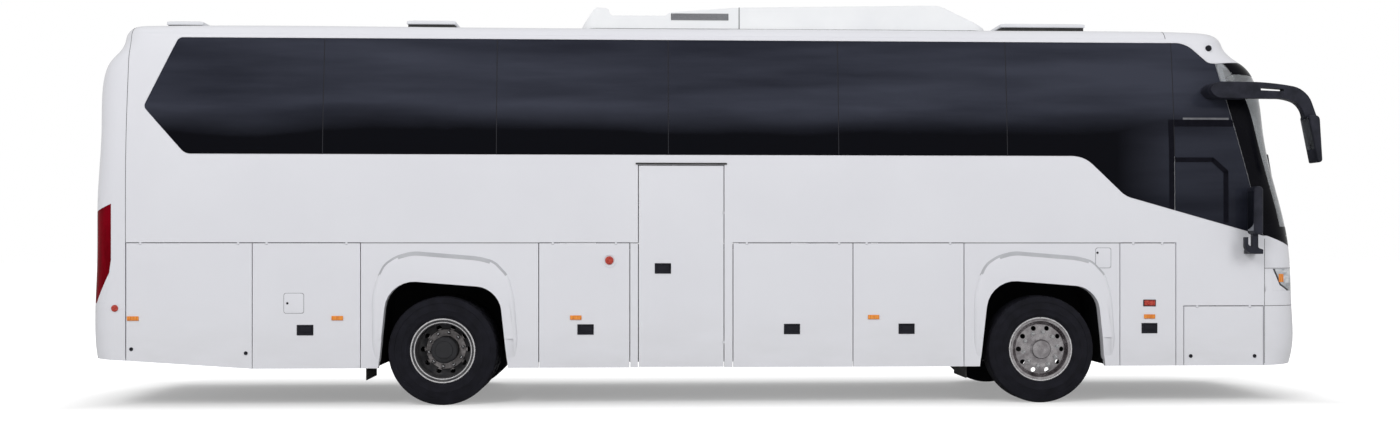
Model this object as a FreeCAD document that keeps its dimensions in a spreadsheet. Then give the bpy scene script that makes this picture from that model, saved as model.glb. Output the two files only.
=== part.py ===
"""Coach bus: a two-axle, single-deck touring coach with high floor, luggage hold and rear engine.

Frame: +X is forwards, +Y is the near (left) side with the entrance door, +Z is up.
The origin lies on the ground, under the middle of the box around the whole coach.
Millimetres. Every driving dimension is a cell of the Dimensions sheet.
"""
import FreeCAD, Part
import math
import os
import Sketcher
from FreeCAD import Placement, Rotation, Vector

DIMENSIONS = {
    # whole coach
    "wheelbase": 5800,
    "rear_overhang": 3430,
    "front_overhang": 2760,
    "mirror_reach": 60,
    "body_half_width": 1255,
    "roof_crown": 3690,
    "skirt_height": 360,
    "rear_skirt_height": 470,
    # outline of the shell
    "tumblehome_start": 2000,
    "tumblehome_radius": 9500,
    "front_corner_radius": 350,
    "rear_corner_radius": 250,
    "front_face_radius": 3200,
    "rear_face_radius": 6000,
    "roof_camber_radius": 16000,
    "cantrail_radius": 150,
    "wall": 60,
    "glass": 8,
    "bond": 0.4,
    # windows
    "band_top": 3530,
    "band_bottom": 2405,
    "bay": 1650,
    "first_joint": -1135,
    "pillar": 90,
    "pane_gap": 8,
    "band_lip": 3,
    # doors and flaps
    "locker_top": 1563,
    "flap_thickness": 40,
    "flap_gap": 8,
    "hinge_inset": 6.5,
    "pin_radius": 4,
    "pin_clearance": 0.1,
    "lug_width": 20,
    # floors
    "saloon_floor_top": 1550,
    "floor_thickness": 50,
    "hold_floor_top": 450,
    "cab_floor_top": 1020,
    # wheels
    "tyre_radius": 522,
    "tyre_width": 295,
    "tyre_outer_face": 1240,
    "twin_spacing": 330,
    "rim_seat_radius": 286,
    "rim_flange_radius": 298,
    "hub_radius": 140,
    "stub_radius": 45,
    "stub_clearance": 0.1,
    "kingpin_offset": 950,
    "kingpin_radius": 25,
}


class Size(float):
    """A length that remembers the sheet expression which gives it."""

    def __new__(cls, value, text):
        made = float.__new__(cls, value)
        made.text = text
        return made

    def __add__(self, other):
        return Size(float(self) + float(other), f"({self.text} + {text_of(other)})")

    def __radd__(self, other):
        return Size(float(other) + float(self), f"({text_of(other)} + {self.text})")

    def __sub__(self, other):
        return Size(float(self) - float(other), f"({self.text} - {text_of(other)})")

    def __rsub__(self, other):
        return Size(float(other) - float(self), f"({text_of(other)} - {self.text})")

    def __mul__(self, other):
        return Size(float(self) * float(other), f"({self.text} * {text_of(other)})")

    __rmul__ = __mul__

    def __truediv__(self, other):
        return Size(float(self) / float(other), f"({self.text} / {text_of(other)})")

    def __neg__(self):
        return Size(-float(self), f"(0 - {self.text})")


def text_of(value):
    """The expression for a size, or the plain number."""
    return value.text if isinstance(value, Size) else repr(float(value))


doc = FreeCAD.newDocument("CoachBus")
sheet = doc.addObject("Spreadsheet::Sheet", "Dimensions")
for row, (alias, number) in enumerate(DIMENSIONS.items(), start=1):
    sheet.set(f"A{row}", alias)
    sheet.set(f"B{row}", str(number))
    sheet.setAlias(f"B{row}", alias)
doc.recompute()


def dim(alias):
    """A driving dimension, read from the sheet."""
    return Size(float(sheet.get(alias)), f"Dimensions.{alias}")


def bind(thing, **sizes):
    """Sets each property of a document object and ties it to its sheet expression."""
    for name, value in sizes.items():
        setattr(thing, name, float(value))
        if isinstance(value, Size):
            thing.setExpression(name, value.text)


def place(thing, x=0.0, y=0.0, z=0.0, axis=None, turn=0.0):
    """Puts an object at a point, turned about an axis, with its position tied to the sheet."""
    rotation = Rotation(axis, turn) if axis else Rotation()
    thing.Placement = Placement(Vector(float(x), float(y), float(z)), rotation)
    for coordinate, value in (("x", x), ("y", y), ("z", z)):
        if isinstance(value, Size):
            thing.setExpression(f"Placement.Base.{coordinate}", value.text)


SUBPARTS = []


def subpart(thing, label):
    """Registers an object of the document as a sub-part of the coach."""
    thing.Label = label
    SUBPARTS.append(thing)
    return thing


def shaped(label, shape):
    """A sub-part whose shape is worked out here from the sheet's sizes."""
    thing = doc.addObject("Part::Feature", label)
    thing.Shape = shape
    return subpart(thing, label)


# Main stations along the coach, from the middle of the whole box
overall = dim("rear_overhang") + dim("wheelbase") + dim("front_overhang") + dim("mirror_reach")
rear_axle_x = dim("rear_overhang") - overall / 2
front_axle_x = rear_axle_x + dim("wheelbase")
rear_face_x = rear_axle_x - dim("rear_overhang")
front_face_x = front_axle_x + dim("front_overhang")
half_width = dim("body_half_width")
wall = dim("wall")
skirt = dim("skirt_height")
RIGHT, LEFT = -1, 1

# The shell's end profiles: (height, how far the centre line lies behind the foremost or rearmost point)
FRONT_RAKE = [(250, 70), (430, 28), (600, 2), (780, 4), (950, 15), (1300, 28), (1640, 65), (2000, 150),
              (2660, 300), (3300, 470), (3850, 680)]
REAR_RAKE = [(250, 80), (430, 32), (600, 8), (780, 2), (950, 4), (1300, 18), (1640, 22), (2000, 26),
             (2660, 58), (3300, 128), (3850, 205)]


def half_width_at(z):
    """Half the outside width at a height: upright below the waist, leaning in above it."""
    above = max(0.0, z - dim("tumblehome_start"))
    return half_width - above * above / (2 * dim("tumblehome_radius"))


def tangent_arc(start, centre, radius, end):
    """An arc from start to end about a centre."""
    middle = (start + end) * 0.5 - centre
    middle.normalize()
    return Part.Arc(start, centre + middle * radius, end).toShape()


def plan_wire(z, front, rear, half, inset):
    """The closed outline of the shell at one height: two straight sides, four corners, two bowed ends."""
    corner_f, corner_r = dim("front_corner_radius") - inset, dim("rear_corner_radius") - inset
    face_f, face_r = dim("front_face_radius") - inset, dim("rear_face_radius") - inset
    centre_f, centre_r = Vector(front - face_f, 0, z), Vector(rear + face_r, 0, z)
    turn_f = centre_f.x + math.sqrt((face_f - corner_f) ** 2 - (half - corner_f) ** 2)
    turn_r = centre_r.x - math.sqrt((face_r - corner_r) ** 2 - (half - corner_r) ** 2)

    def on_face(centre, radius, corner):
        direction = corner - centre
        direction.normalize()
        return centre + direction * radius

    edges = []
    mirror = lambda p: Vector(p.x, -p.y, p.z)
    mid_f, mid_r = Vector(turn_f, corner_f - half, z), Vector(turn_r, corner_r - half, z)
    side_f, side_r = Vector(turn_f, -half, z), Vector(turn_r, -half, z)
    face_start = on_face(centre_f, face_f, mid_f)
    face_end = on_face(centre_r, face_r, mid_r)
    edges.append(Part.LineSegment(side_r, side_f).toShape())
    edges.append(tangent_arc(side_f, mid_f, corner_f, face_start))
    edges.append(Part.Arc(face_start, Vector(front, 0, z), mirror(face_start)).toShape())
    edges.append(tangent_arc(mirror(face_start), mirror(mid_f), corner_f, mirror(side_f)))
    edges.append(Part.LineSegment(mirror(side_f), mirror(side_r)).toShape())
    edges.append(tangent_arc(mirror(side_r), mirror(mid_r), corner_r, mirror(face_end)))
    edges.append(Part.Arc(mirror(face_end), Vector(rear, 0, z), face_end).toShape())
    edges.append(tangent_arc(face_end, mid_r, corner_r, side_r))
    return Part.Wire(edges)


def roof_under(inset):
    """Everything below the cambered roof, which drops towards the windscreen."""
    drops = [(-200, 30), (300, 12), (900, 0), (3500, 0), (6500, 0), (9000, 0), (10300, 0), (10900, 15),
             (11300, 50), (11700, 110), (12300, 230)]
    grid = []
    for along, drop in drops:
        across = [-1500, -1000, -500, 0, 500, 1000, 1500]
        camber = [y * y / (2 * dim("roof_camber_radius")) for y in across]
        grid.append([Vector(rear_face_x + along, y, dim("roof_crown") - inset - drop - c)
                     for y, c in zip(across, camber)])
    surface = Part.BSplineSurface()
    surface.interpolate(grid)
    return surface.toShape().extrude(Vector(0, 0, -4000))


def body_solid(inset):
    """The whole coach as one solid, drawn in by an inset from the outside skin."""
    wires = []
    for (z, front_back), (_, rear_in) in zip(FRONT_RAKE, REAR_RAKE):
        wires.append(plan_wire(z, front_face_x - front_back - inset, rear_face_x + rear_in + inset,
                               half_width_at(z) - inset, inset))
    block = Part.makeLoft(wires, True, False, False).common(roof_under(inset)).Solids[0]
    roof = max(block.Faces, key=lambda face: face.CenterOfMass.z)
    return block.makeFillet(float(dim("cantrail_radius") - inset), roof.Edges).Solids[0]


def box(x0, x1, y0, y1, z0, z1):
    """A plain block between two corners."""
    return Part.makeBox(float(x1 - x0), float(y1 - y0), float(z1 - z0), Vector(float(x0), float(y0), float(z0)))


def rounded_wire(points, closed=True):
    """A wire in the XZ plane through (x, z) or (x, z, corner radius) points."""
    count = len(points)
    corners = []
    for index, point in enumerate(points):
        here = Vector(float(point[0]), 0, float(point[1]))
        radius = float(point[2]) if len(point) > 2 else 0.0
        if radius <= 0:
            corners.append((here, here, None))
            continue
        before = points[(index - 1) % count]
        after = points[(index + 1) % count]
        to_before = Vector(float(before[0]), 0, float(before[1])) - here
        to_after = Vector(float(after[0]), 0, float(after[1])) - here
        angle = to_before.getAngle(to_after)
        reach = min(radius / math.tan(angle / 2), 0.49 * to_before.Length, 0.49 * to_after.Length)
        to_before.normalize()
        to_after.normalize()
        start, end = here + to_before * reach, here + to_after * reach
        bisector = to_before + to_after
        bisector.normalize()
        fitted = reach * math.tan(angle / 2)
        middle = here + bisector * (fitted / math.sin(angle / 2) - fitted)
        corners.append((start, end, middle))
    edges = []
    for index, (start, end, middle) in enumerate(corners):
        if middle is not None:
            edges.append(Part.Arc(start, middle, end).toShape())
        following = corners[(index + 1) % count][0]
        if (following - end).Length > 1e-6:
            edges.append(Part.LineSegment(end, following).toShape())
    return Part.Wire(edges)


def side_prism(wire, side):
    """Extrudes an XZ outline across one side of the coach."""
    face = Part.Face(wire)
    face.translate(Vector(0, side * 850.0, 0))
    return face.extrude(Vector(0, side * 700.0, 0))


def through_prism(wire):
    """Extrudes an XZ outline across the whole coach."""
    face = Part.Face(wire)
    face.translate(Vector(0, -1500.0, 0))
    return face.extrude(Vector(0, 3000.0, 0))


def slab(x0, x1, z0, z1):
    """A plain XZ rectangle extruded through the whole coach."""
    return box(x0, x1, -1500, 1500, z0, z1)


def along(distance):
    """A station measured forwards from the rear axle."""
    return rear_axle_x + distance


# Parts that are built against one another stay this far apart
CLEAR = 0.4

# Solids of the skin, its glass layer and its inside
skin = body_solid(0.0)
under_glass = body_solid(float(dim("glass") + dim("bond")))
glass_inside = body_solid(float(dim("glass")))
inside = body_solid(float(wall))
flap_inside = body_solid(float(dim("flap_thickness")))
lining = body_solid(float(wall) + CLEAR)

# Lower edge of the skirt: level, rising behind the rear axle
skirt_line = [(along(-1800), skirt), (along(-2980), skirt + 80), (rear_face_x - 100, dim("rear_skirt_height")),
              (rear_face_x - 100, 0), (front_face_x + 100, 0), (front_face_x + 100, skirt + 25),
              (along(8010), skirt)]
below_skirt = through_prism(rounded_wire(skirt_line))

# Vertical seams between the welded middle and the moulded ends
rear_seam_x = along(-2985)
dome_seam_x = along(7070)
front_seam_x = along(8008)
rail_top = dim("band_top") + 40
band_top = float(dim("band_top"))
band_bottom = float(dim("band_bottom"))
RING = 60.0

# Heights of the seams at the two ends
bumper_top = 947.0
cowl_foot = 1314.0
rear_bumper_top = 930.0
hull = skin.cut(inside)

# The dark glass band along each side, as seen from the right, and the line where it meets the windscreen
SCREEN_TOP, SCREEN_FOOT = (along(7550), 3325), (along(7993), 1628)
GLASS_BAND = [(along(-2830), 2855, 60), (along(-2520), band_top, 60), (along(7260), band_top, 260),
              (along(7480), 3330, 120), SCREEN_TOP, SCREEN_FOOT, (along(6626), 2014, 250),
              (along(6217), band_bottom, 300), (along(-2430), band_bottom, 120)]
band_face = Part.Face(rounded_wire(GLASS_BAND))
joint_stations = [along(dim("first_joint") + index * dim("bay")) for index in range(6)]


def screen_outline(margin):
    """The outline of the windscreen, seen from the side; a positive margin draws it in."""
    lean = (SCREEN_FOOT[0] - SCREEN_TOP[0]) / (SCREEN_TOP[1] - SCREEN_FOOT[1])
    shift = margin * math.sqrt(1 + lean * lean)
    top, foot = SCREEN_TOP[1] - margin, SCREEN_FOOT[1] + margin
    return rounded_wire([(SCREEN_TOP[0] + lean * margin + shift, top), (along(8350), top + 62),
                         (front_face_x + 200, top + 62), (front_face_x + 200, foot),
                         (SCREEN_FOOT[0] - lean * margin + shift, foot)])


def offset_face(face, distance):
    """A flat face grown by a distance, or drawn in by a negative one."""
    return face if distance == 0 else face.makeOffset2D(float(distance), 0, False, False, False)


def face_prism(face, side):
    """A flat XZ face extruded through one side of the shell."""
    moved = face.copy()
    moved.translate(Vector(0, side * 850.0, 0))
    return moved.extrude(Vector(0, side * 700.0, 0))


def through(face):
    """A flat XZ face extruded through the whole coach."""
    moved = face.copy()
    moved.translate(Vector(0, -1500.0, 0))
    return moved.extrude(Vector(0, 3000.0, 0))


def polygon(points):
    """A flat face in the XZ plane."""
    return Part.Face(rounded_wire(points))


# Bays of the side glass, from the rear to the driver's window
bay_edges = [along(-2900)] + joint_stations + [along(8100)]
glass_layer = skin.cut(glass_inside)
pane_face = offset_face(band_face, -2.5)
opening_face = offset_face(band_face, -RING)


def bay_faces(face, margin):
    """The parts of the band between neighbouring joints, each drawn in from its joints by a margin."""
    pieces = []
    for begin, finish in zip(bay_edges, bay_edges[1:]):
        strip = polygon([(begin + margin, 1000), (finish - margin, 1000), (finish - margin, 4000),
                         (begin + margin, 4000)])
        pieces.append(face.common(strip).Faces[0])
    return pieces


def side_panes(side):
    """The bonded panes of one side."""
    return Part.makeCompound([glass_layer.common(face_prism(face, side)).Solids[0]
                              for face in bay_faces(pane_face, float(dim("pane_gap")) / 2)])


def mirrored(shape):
    """The same shape on the other side of the coach."""
    return shape.mirror(Vector(0, 0, 0), Vector(0, 1, 0))


# Flaps along each side: (name, from, to, top), measured from the rear axle
RIGHT_FLAPS = [
    ("engine_flap_right", -2975, -1799, dim("locker_top")),
    ("locker_flap_right", -1791, -778, dim("locker_top")),
    ("rear_hold_flap_right", 925, 1790, dim("locker_top")),
    ("middle_hold_flap_right", 2792, 3948, dim("locker_top")),
    ("front_hold_flap_right", 3956, 5032, dim("locker_top")),
    ("battery_flap_right", 6574, 7120, dim("locker_top")),
    ("corner_flap_right", 7207, 7990, 947),
]
LEFT_FLAPS = [
    ("engine_flap_left", -2975, -1799, dim("locker_top")),
    ("locker_flap_left", -1791, -778, dim("locker_top")),
    ("rear_hold_flap_left", 925, 2291, dim("locker_top")),
    ("middle_hold_flap_left", 2299, 3661, dim("locker_top")),
    ("front_hold_flap_left", 3669, 5032, dim("locker_top")),
]
EMERGENCY_DOOR = (1880, 2697, 364, 2302)
ENTRANCE = (6620, 7560, 400, 2790)
gap = float(dim("flap_gap"))
front_gap = 12.0
inset = float(dim("hinge_inset"))
pin = float(dim("pin_radius"))
pin_bore = float(dim("pin_radius") + dim("pin_clearance"))
lug_width = float(dim("lug_width"))
HALF_LUG = 5.0
NOTCH = 7.6


def top_hinges(stations, y_axis, z_axis, wall_foot):
    """Hinge lugs with pins, along X, and the notches and bores that a flap needs round them."""
    lugs, notches = [], []
    for station in stations:
        lug = box(station - lug_width / 2, station + lug_width / 2, y_axis - HALF_LUG, y_axis + HALF_LUG,
                  z_axis - HALF_LUG, wall_foot + 20)
        bar = Part.makeCylinder(pin, lug_width + 24, Vector(station - lug_width / 2 - 12, y_axis, z_axis), Vector(1, 0, 0))
        lugs.append(lug.fuse(bar))
        notches.append(box(station - lug_width / 2 - 2, station + lug_width / 2 + 2, y_axis - 200, y_axis + 200,
                           z_axis - NOTCH, z_axis + 60))
        notches.append(Part.makeCylinder(pin_bore, lug_width + 28, Vector(station - lug_width / 2 - 14, y_axis, z_axis),
                                         Vector(1, 0, 0)))
    return lugs, notches


def flap_hinges(start, end, top, side):
    """The hinges of a side flap."""
    stations = (along(start) + 130, along(end) - 130)
    return top_hinges(stations, side * (half_width - inset), float(top) - gap - inset, float(top))


lower_right = skin.common(box(rear_seam_x, front_seam_x, -1400, -1100, 0, dim("locker_top")))
lower_right = lower_right.cut([flap_inside, below_skirt])
flap_skins = {RIGHT: lower_right, LEFT: mirrored(lower_right)}


def side_flap(label, start, end, top, side):
    """A top-hinged flap cut from the skin, thinner than the wall round it."""
    outline = polygon([(along(start), 100), (along(end), 100), (along(end), top - gap), (along(start), top - gap)])
    panel = flap_skins[side].common(face_prism(outline, side))
    return shaped(label, panel.cut(flap_hinges(start, end, top, side)[1]))


def wheel_opening(axle_x, grow=0.0):
    """The outline of a wheel arch: leaning sides, and a crown that falls towards the front."""
    return polygon([(axle_x - 634 - grow, 100), (axle_x - 520 - grow, 1212 + grow, 280 + grow),
                    (axle_x + 545 + grow, 1128 + grow, 250 + grow), (axle_x + 655 + grow, 100)])


def arch_flare(axle_x, side):
    """The moulded lip round a wheel arch, standing proud of the side with a sloping outer edge."""
    outline = [(-668, 640), (-668, 1010, 150), (-560, 1330, 160), (-300, 1492, 160), (480, 1402, 160),
               (640, 1230, 160), (716, 640)]
    low, high = [], []
    for point in outline:
        radius = point[2] if len(point) > 2 else 0
        low.append((axle_x + point[0], point[1], radius))
        high.append((axle_x + point[0] * 0.955, 640 + (point[1] - 640) * 0.955, radius))
    base = rounded_wire(low)
    crest = rounded_wire(high)
    base.translate(Vector(0, side * (half_width - 10), 0))
    crest.translate(Vector(0, side * (half_width + 20), 0))
    return Part.makeLoft([base, crest], True, True)


def doorway(start, end, bottom, top, margin_front):
    """The opening for a door, with its running gap."""
    return polygon([(along(start) - gap, bottom - gap), (along(end) + margin_front, bottom - gap),
                    (along(end) + margin_front, top + gap), (along(start) - gap, top + gap)])


# Where the side wall ends towards the front: the seam, the windscreen pillar and the edge of the glass
def wall_zone(grow):
    """The side wall's outline, seen from the side: the welded middle, the pillar and the top of the glass."""
    front = polygon([(dome_seam_x - 200, 0), (front_seam_x + grow, 0), (front_seam_x + grow, 1640 - grow),
                     (SCREEN_FOOT[0] + RING + grow, 1640 - grow), (SCREEN_TOP[0] + RING + grow, SCREEN_TOP[1] + 3 + grow),
                     (dome_seam_x - 200, SCREEN_TOP[1] + 3 + grow)])
    middle = polygon([(rear_seam_x - grow, 0), (dome_seam_x + grow, 0), (dome_seam_x + grow, rail_top + grow),
                      (rear_seam_x - grow, rail_top + grow)])
    over_glass = offset_face(band_face, 3 + grow).common(polygon([(dome_seam_x - 200, 1000), (along(8100), 1000),
                                                                  (along(8100), 4000), (dome_seam_x - 200, 4000)]))
    return [middle, front, over_glass.Faces[0]]



def zone_prism(side):
    """The space that a side wall takes up."""
    prisms = [face_prism(face, side) for face in wall_zone(-CLEAR / 2)]
    return prisms[0].fuse(prisms[1:])


door_zone = polygon([(along(ENTRANCE[0]) - RING, 300), (along(ENTRANCE[1]) + RING, 300),
                     (along(ENTRANCE[1]) + RING, ENTRANCE[3] + RING), (along(ENTRANCE[0]) - RING, ENTRANCE[3] + RING)])
screen_cutters = [through(Part.Face(screen_outline(0))).cut(under_glass), through(Part.Face(screen_outline(RING)))]


right_blank = hull.common(zone_prism(RIGHT)).cut([below_skirt, face_prism(band_face, RIGHT).cut(under_glass)]
                                                 + screen_cutters)
blanks = {RIGHT: right_blank, LEFT: mirrored(right_blank)}


def side_wall(label, side, flaps, openings, kept, extra_lugs):
    """A whole side: skirts, belt, window pillars and rail, with its wheel arches and every opening."""
    cutters = []
    for face in bay_faces(opening_face, float(dim("pillar")) / 2):
        for piece in (face.cut(kept).Faces if kept else [face]):
            cutters.append(face_prism(piece, side))
    lugs = list(extra_lugs)
    for _, start, end, top in flaps:
        cutters.append(face_prism(polygon([(along(start) - gap, 0), (along(end) + gap, 0), (along(end) + gap, top),
                                           (along(start) - gap, top)]), side))
        lugs += flap_hinges(start, end, top, side)[0]
    cutters += [face_prism(face, side) for face in openings]
    flares = [arch_flare(axle, side).cut(skin) for axle in (rear_axle_x, front_axle_x)]
    arches = [face_prism(wheel_opening(axle), side) for axle in (rear_axle_x, front_axle_x)]
    return shaped(label, blanks[side].cut(cutters).fuse(flares + lugs).cut(arches))


def edge_hinges(x_axis, y_axis, heights, jamb):
    """Hinge lugs with upright pins at a door's front edge, and the notches and bores round them."""
    lugs, notches = [], []
    for height in heights:
        lug = box(x_axis - HALF_LUG, jamb + 20, y_axis - HALF_LUG, y_axis + HALF_LUG,
                  height - lug_width / 2, height + lug_width / 2)
        bar = Part.makeCylinder(pin, lug_width + 24, Vector(x_axis, y_axis, height - lug_width / 2 - 12))
        lugs.append(lug.fuse(bar))
        notches.append(box(x_axis - NOTCH, x_axis + 60, y_axis - 200, y_axis + 200,
                           height - lug_width / 2 - 2, height + lug_width / 2 + 2))
        notches.append(Part.makeCylinder(pin_bore, lug_width + 28, Vector(x_axis, y_axis, height - lug_width / 2 - 14)))
    return lugs, notches


emergency_axis = (along(EMERGENCY_DOOR[1]) - inset, -(half_width - inset))
emergency_lugs, emergency_notches = edge_hinges(*emergency_axis, (600, 1850), along(EMERGENCY_DOOR[1]) + gap)
entrance_opening = doorway(*ENTRANCE, front_gap)
side_wall("side_wall_right", RIGHT, RIGHT_FLAPS, [doorway(*EMERGENCY_DOOR, gap)], None, emergency_lugs)
side_wall("side_wall_left", LEFT, LEFT_FLAPS, [entrance_opening], door_zone, [])
right_panes = side_panes(RIGHT)
shaped("side_glass_right", right_panes)
shaped("side_glass_left", mirrored(right_panes).cut(face_prism(entrance_opening, LEFT)))
for flap in RIGHT_FLAPS:
    side_flap(*flap, RIGHT)
for flap in LEFT_FLAPS:
    side_flap(*flap, LEFT)
emergency_panel = skin.common(face_prism(polygon([(along(EMERGENCY_DOOR[0]), EMERGENCY_DOOR[2]),
                                                  (along(EMERGENCY_DOOR[1]), EMERGENCY_DOOR[2]),
                                                  (along(EMERGENCY_DOOR[1]), EMERGENCY_DOOR[3]),
                                                  (along(EMERGENCY_DOOR[0]), EMERGENCY_DOOR[3])]), RIGHT))
shaped("emergency_door", emergency_panel.cut([inside] + emergency_notches))


# Roof, front dome and rear end
roof_panel = hull.common(slab(rear_seam_x + CLEAR / 2, dome_seam_x - CLEAR / 2, rail_top + CLEAR / 2, 4000))
hatch_top = body_solid(-28.0)
hatches = []
for start, end in ((-460, 10), (5500, 5930), (5950, 6380)):
    hatches.append(hatch_top.common(box(along(start), along(end), -380, 380, 3500, 4000)).cut(skin))
shaped("roof", roof_panel.fuse(hatches))

wall_prisms = [through(face) for face in wall_zone(CLEAR / 2)]
dome = hull.common(slab(dome_seam_x + CLEAR / 2, front_face_x + 50, 3240, 4000)).cut(wall_prisms + screen_cutters)
shaped("front_dome", max(dome.Solids, key=lambda solid: solid.Volume))


def end_prism(x0, x1, y0, y1, z0, z1, radius):
    """A rounded rectangle in the YZ plane, extruded along the coach."""
    wire = rounded_wire([(y0, z0, radius), (y1, z0, radius), (y1, z1, radius), (y0, z1, radius)])
    face = Part.Face(wire)
    face.rotate(Vector(0, 0, 0), Vector(0, 0, 1), 90)
    face.translate(Vector(float(x0), 0, 0))
    return face.extrude(Vector(float(x1 - x0), 0, 0))


REAR_WINDOW = (850, 2330, 3230)
ENGINE_DOOR = (760, 950, 1820)
engine_top_gap = 14.0
engine_axis_inset = 14.0
engine_axis = (rear_face_x + 24 + engine_axis_inset, ENGINE_DOOR[2] - inset)


def rear_prism(half, low, high, radius):
    """A rounded rectangle through the rear wall only."""
    return end_prism(rear_face_x - 100, rear_face_x + 400, -half, half, low, high, radius)


LAMP_TOP, LAMP_FOOT, LAMP_FRONT = 1930.0, 985.0, along(-3119)


def tail_lamp_face(margin):
    """The outline of a tail lamp cluster that wraps round the rear corner."""
    return polygon([(rear_face_x - 50, LAMP_FOOT + margin), (LAMP_FRONT - 60 - margin, LAMP_FOOT + margin),
                    (LAMP_FRONT - margin, 1400), (LAMP_FRONT - margin, LAMP_TOP - margin),
                    (rear_face_x - 50, LAMP_TOP - 150 - margin)])


def corner_lamp(face, side, y_inner):
    """The part of the shell under an XZ outline, beyond a distance from the middle."""
    reach = sorted((side * y_inner, side * 1500.0))
    prism = face.copy()
    prism.translate(Vector(0, reach[0], 0))
    return prism.extrude(Vector(0, reach[1] - reach[0], 0))


engine_lugs, engine_notches = [], []
for y in (-300.0, 300.0):
    lug = box(engine_axis[0] - HALF_LUG, engine_axis[0] + HALF_LUG, y - lug_width / 2, y + lug_width / 2,
              engine_axis[1] - HALF_LUG, ENGINE_DOOR[2] + engine_top_gap + 20)
    bar = Part.makeCylinder(pin, lug_width + 24, Vector(float(engine_axis[0]), y - lug_width / 2 - 12,
                                                        float(engine_axis[1])), Vector(0, 1, 0))
    engine_lugs.append(lug.fuse(bar))
    engine_notches.append(box(engine_axis[0] - 200, engine_axis[0] + 200, y - lug_width / 2 - 2, y + lug_width / 2 + 2,
                              engine_axis[1] - NOTCH, engine_axis[1] + 60))
    engine_notches.append(Part.makeCylinder(pin_bore, lug_width + 28, Vector(float(engine_axis[0]),
                                            y - lug_width / 2 - 14, float(engine_axis[1])), Vector(0, 1, 0)))
rear_end = hull.common(slab(rear_face_x - 50, rear_seam_x - CLEAR / 2, 0, 4000)).cut(below_skirt)
rear_cutters = [rear_prism(REAR_WINDOW[0], REAR_WINDOW[1], REAR_WINDOW[2], 80).cut(under_glass),
                rear_prism(REAR_WINDOW[0] - RING, REAR_WINDOW[1] + RING, REAR_WINDOW[2] - RING, 40),
                rear_prism(ENGINE_DOOR[0] + gap, ENGINE_DOOR[1] - gap, ENGINE_DOOR[2] + engine_top_gap, 12)]
lamp_prisms = [corner_lamp(tail_lamp_face(0), side, 1000) for side in (RIGHT, LEFT)]
shaped("rear_wall", rear_end.common(slab(rear_face_x - 50, rear_seam_x, rear_bumper_top + CLEAR / 2, 4000))
       .cut(rear_cutters + [prism.cut(flap_inside) for prism in lamp_prisms]).fuse(engine_lugs))
shaped("rear_bumper", rear_end.common(slab(rear_face_x - 50, rear_seam_x, 0, rear_bumper_top - CLEAR / 2)))
shaped("rear_window", glass_layer.common(rear_prism(REAR_WINDOW[0] - 3, REAR_WINDOW[1] + 3, REAR_WINDOW[2] - 3, 77)))
shaped("engine_door", skin.common(rear_prism(ENGINE_DOOR[0], ENGINE_DOOR[1], ENGINE_DOOR[2], 6))
       .cut([flap_inside] + engine_notches))
lamp_back = body_solid(float(dim("flap_thickness")) - CLEAR)
lamp_body = skin.cut(lamp_back)
right_tail_lamp = lamp_body.common(corner_lamp(tail_lamp_face(CLEAR), RIGHT, 1000 + CLEAR))
shaped("tail_lamps", Part.makeCompound([right_tail_lamp, mirrored(right_tail_lamp)]))

# Front end: cowl under the windscreen, panel with the headlamps, bumper
front_end = hull.common(slab(front_seam_x + CLEAR / 2, front_face_x + 50, 0, 1800)).cut(below_skirt)
cowl = front_end.common(slab(front_seam_x, front_face_x + 50, cowl_foot + CLEAR / 2, 1800)).cut(wall_prisms + screen_cutters)
shaped("front_cowl", max(cowl.Solids, key=lambda solid: solid.Volume))
HEADLAMP = (along(8087), 560, 1090, 1305)


def headlamp_prism(side, margin):
    """The space of a headlamp unit, from the front round the corner."""
    reach = sorted((side * (HEADLAMP[1] + margin), side * 1500.0))
    return box(HEADLAMP[0] + margin, front_face_x + 50, reach[0], reach[1], HEADLAMP[2] + margin, HEADLAMP[3] - margin)


front_middle = front_end.common(slab(front_seam_x, front_face_x + 50, bumper_top + CLEAR / 2, cowl_foot - CLEAR / 2))
shaped("front_panel", front_middle.cut([headlamp_prism(side, 0).cut(flap_inside) for side in (RIGHT, LEFT)]))
TOW_EYE = (300.0, 770.0)
tow_access = Part.makeCylinder(42.0, 400.0, Vector(float(front_face_x) - 300, *TOW_EYE), Vector(1, 0, 0))
shaped("front_bumper", front_end.common(slab(front_seam_x, front_face_x + 50, 0, bumper_top - CLEAR / 2)).cut(tow_access))
right_headlamp = lamp_body.common(headlamp_prism(RIGHT, CLEAR))
shaped("headlamps", Part.makeCompound([right_headlamp, mirrored(right_headlamp)]))
shaped("windscreen", glass_layer.common(through(Part.Face(screen_outline(4)))))


# Entrance door: a full-height leaf, glazed from the waist up, carried by two arms on an upright shaft
door_leaf = hull.common(face_prism(polygon([(along(ENTRANCE[0]), ENTRANCE[2]), (along(ENTRANCE[1]), ENTRANCE[2]),
                                            (along(ENTRANCE[1]), ENTRANCE[3]), (along(ENTRANCE[0]), ENTRANCE[3])]), LEFT))


def door_glass_face(margin):
    """The outline of the door's window."""
    return polygon([(along(ENTRANCE[0]) + 20 + margin, 1000 + margin, 40), (along(ENTRANCE[1]) - 20 - margin, 1000 + margin, 40),
                    (along(ENTRANCE[1]) - 20 - margin, ENTRANCE[3] - 20 - margin, 40),
                    (along(ENTRANCE[0]) + 20 + margin, ENTRANCE[3] - 20 - margin, 40)])


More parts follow.
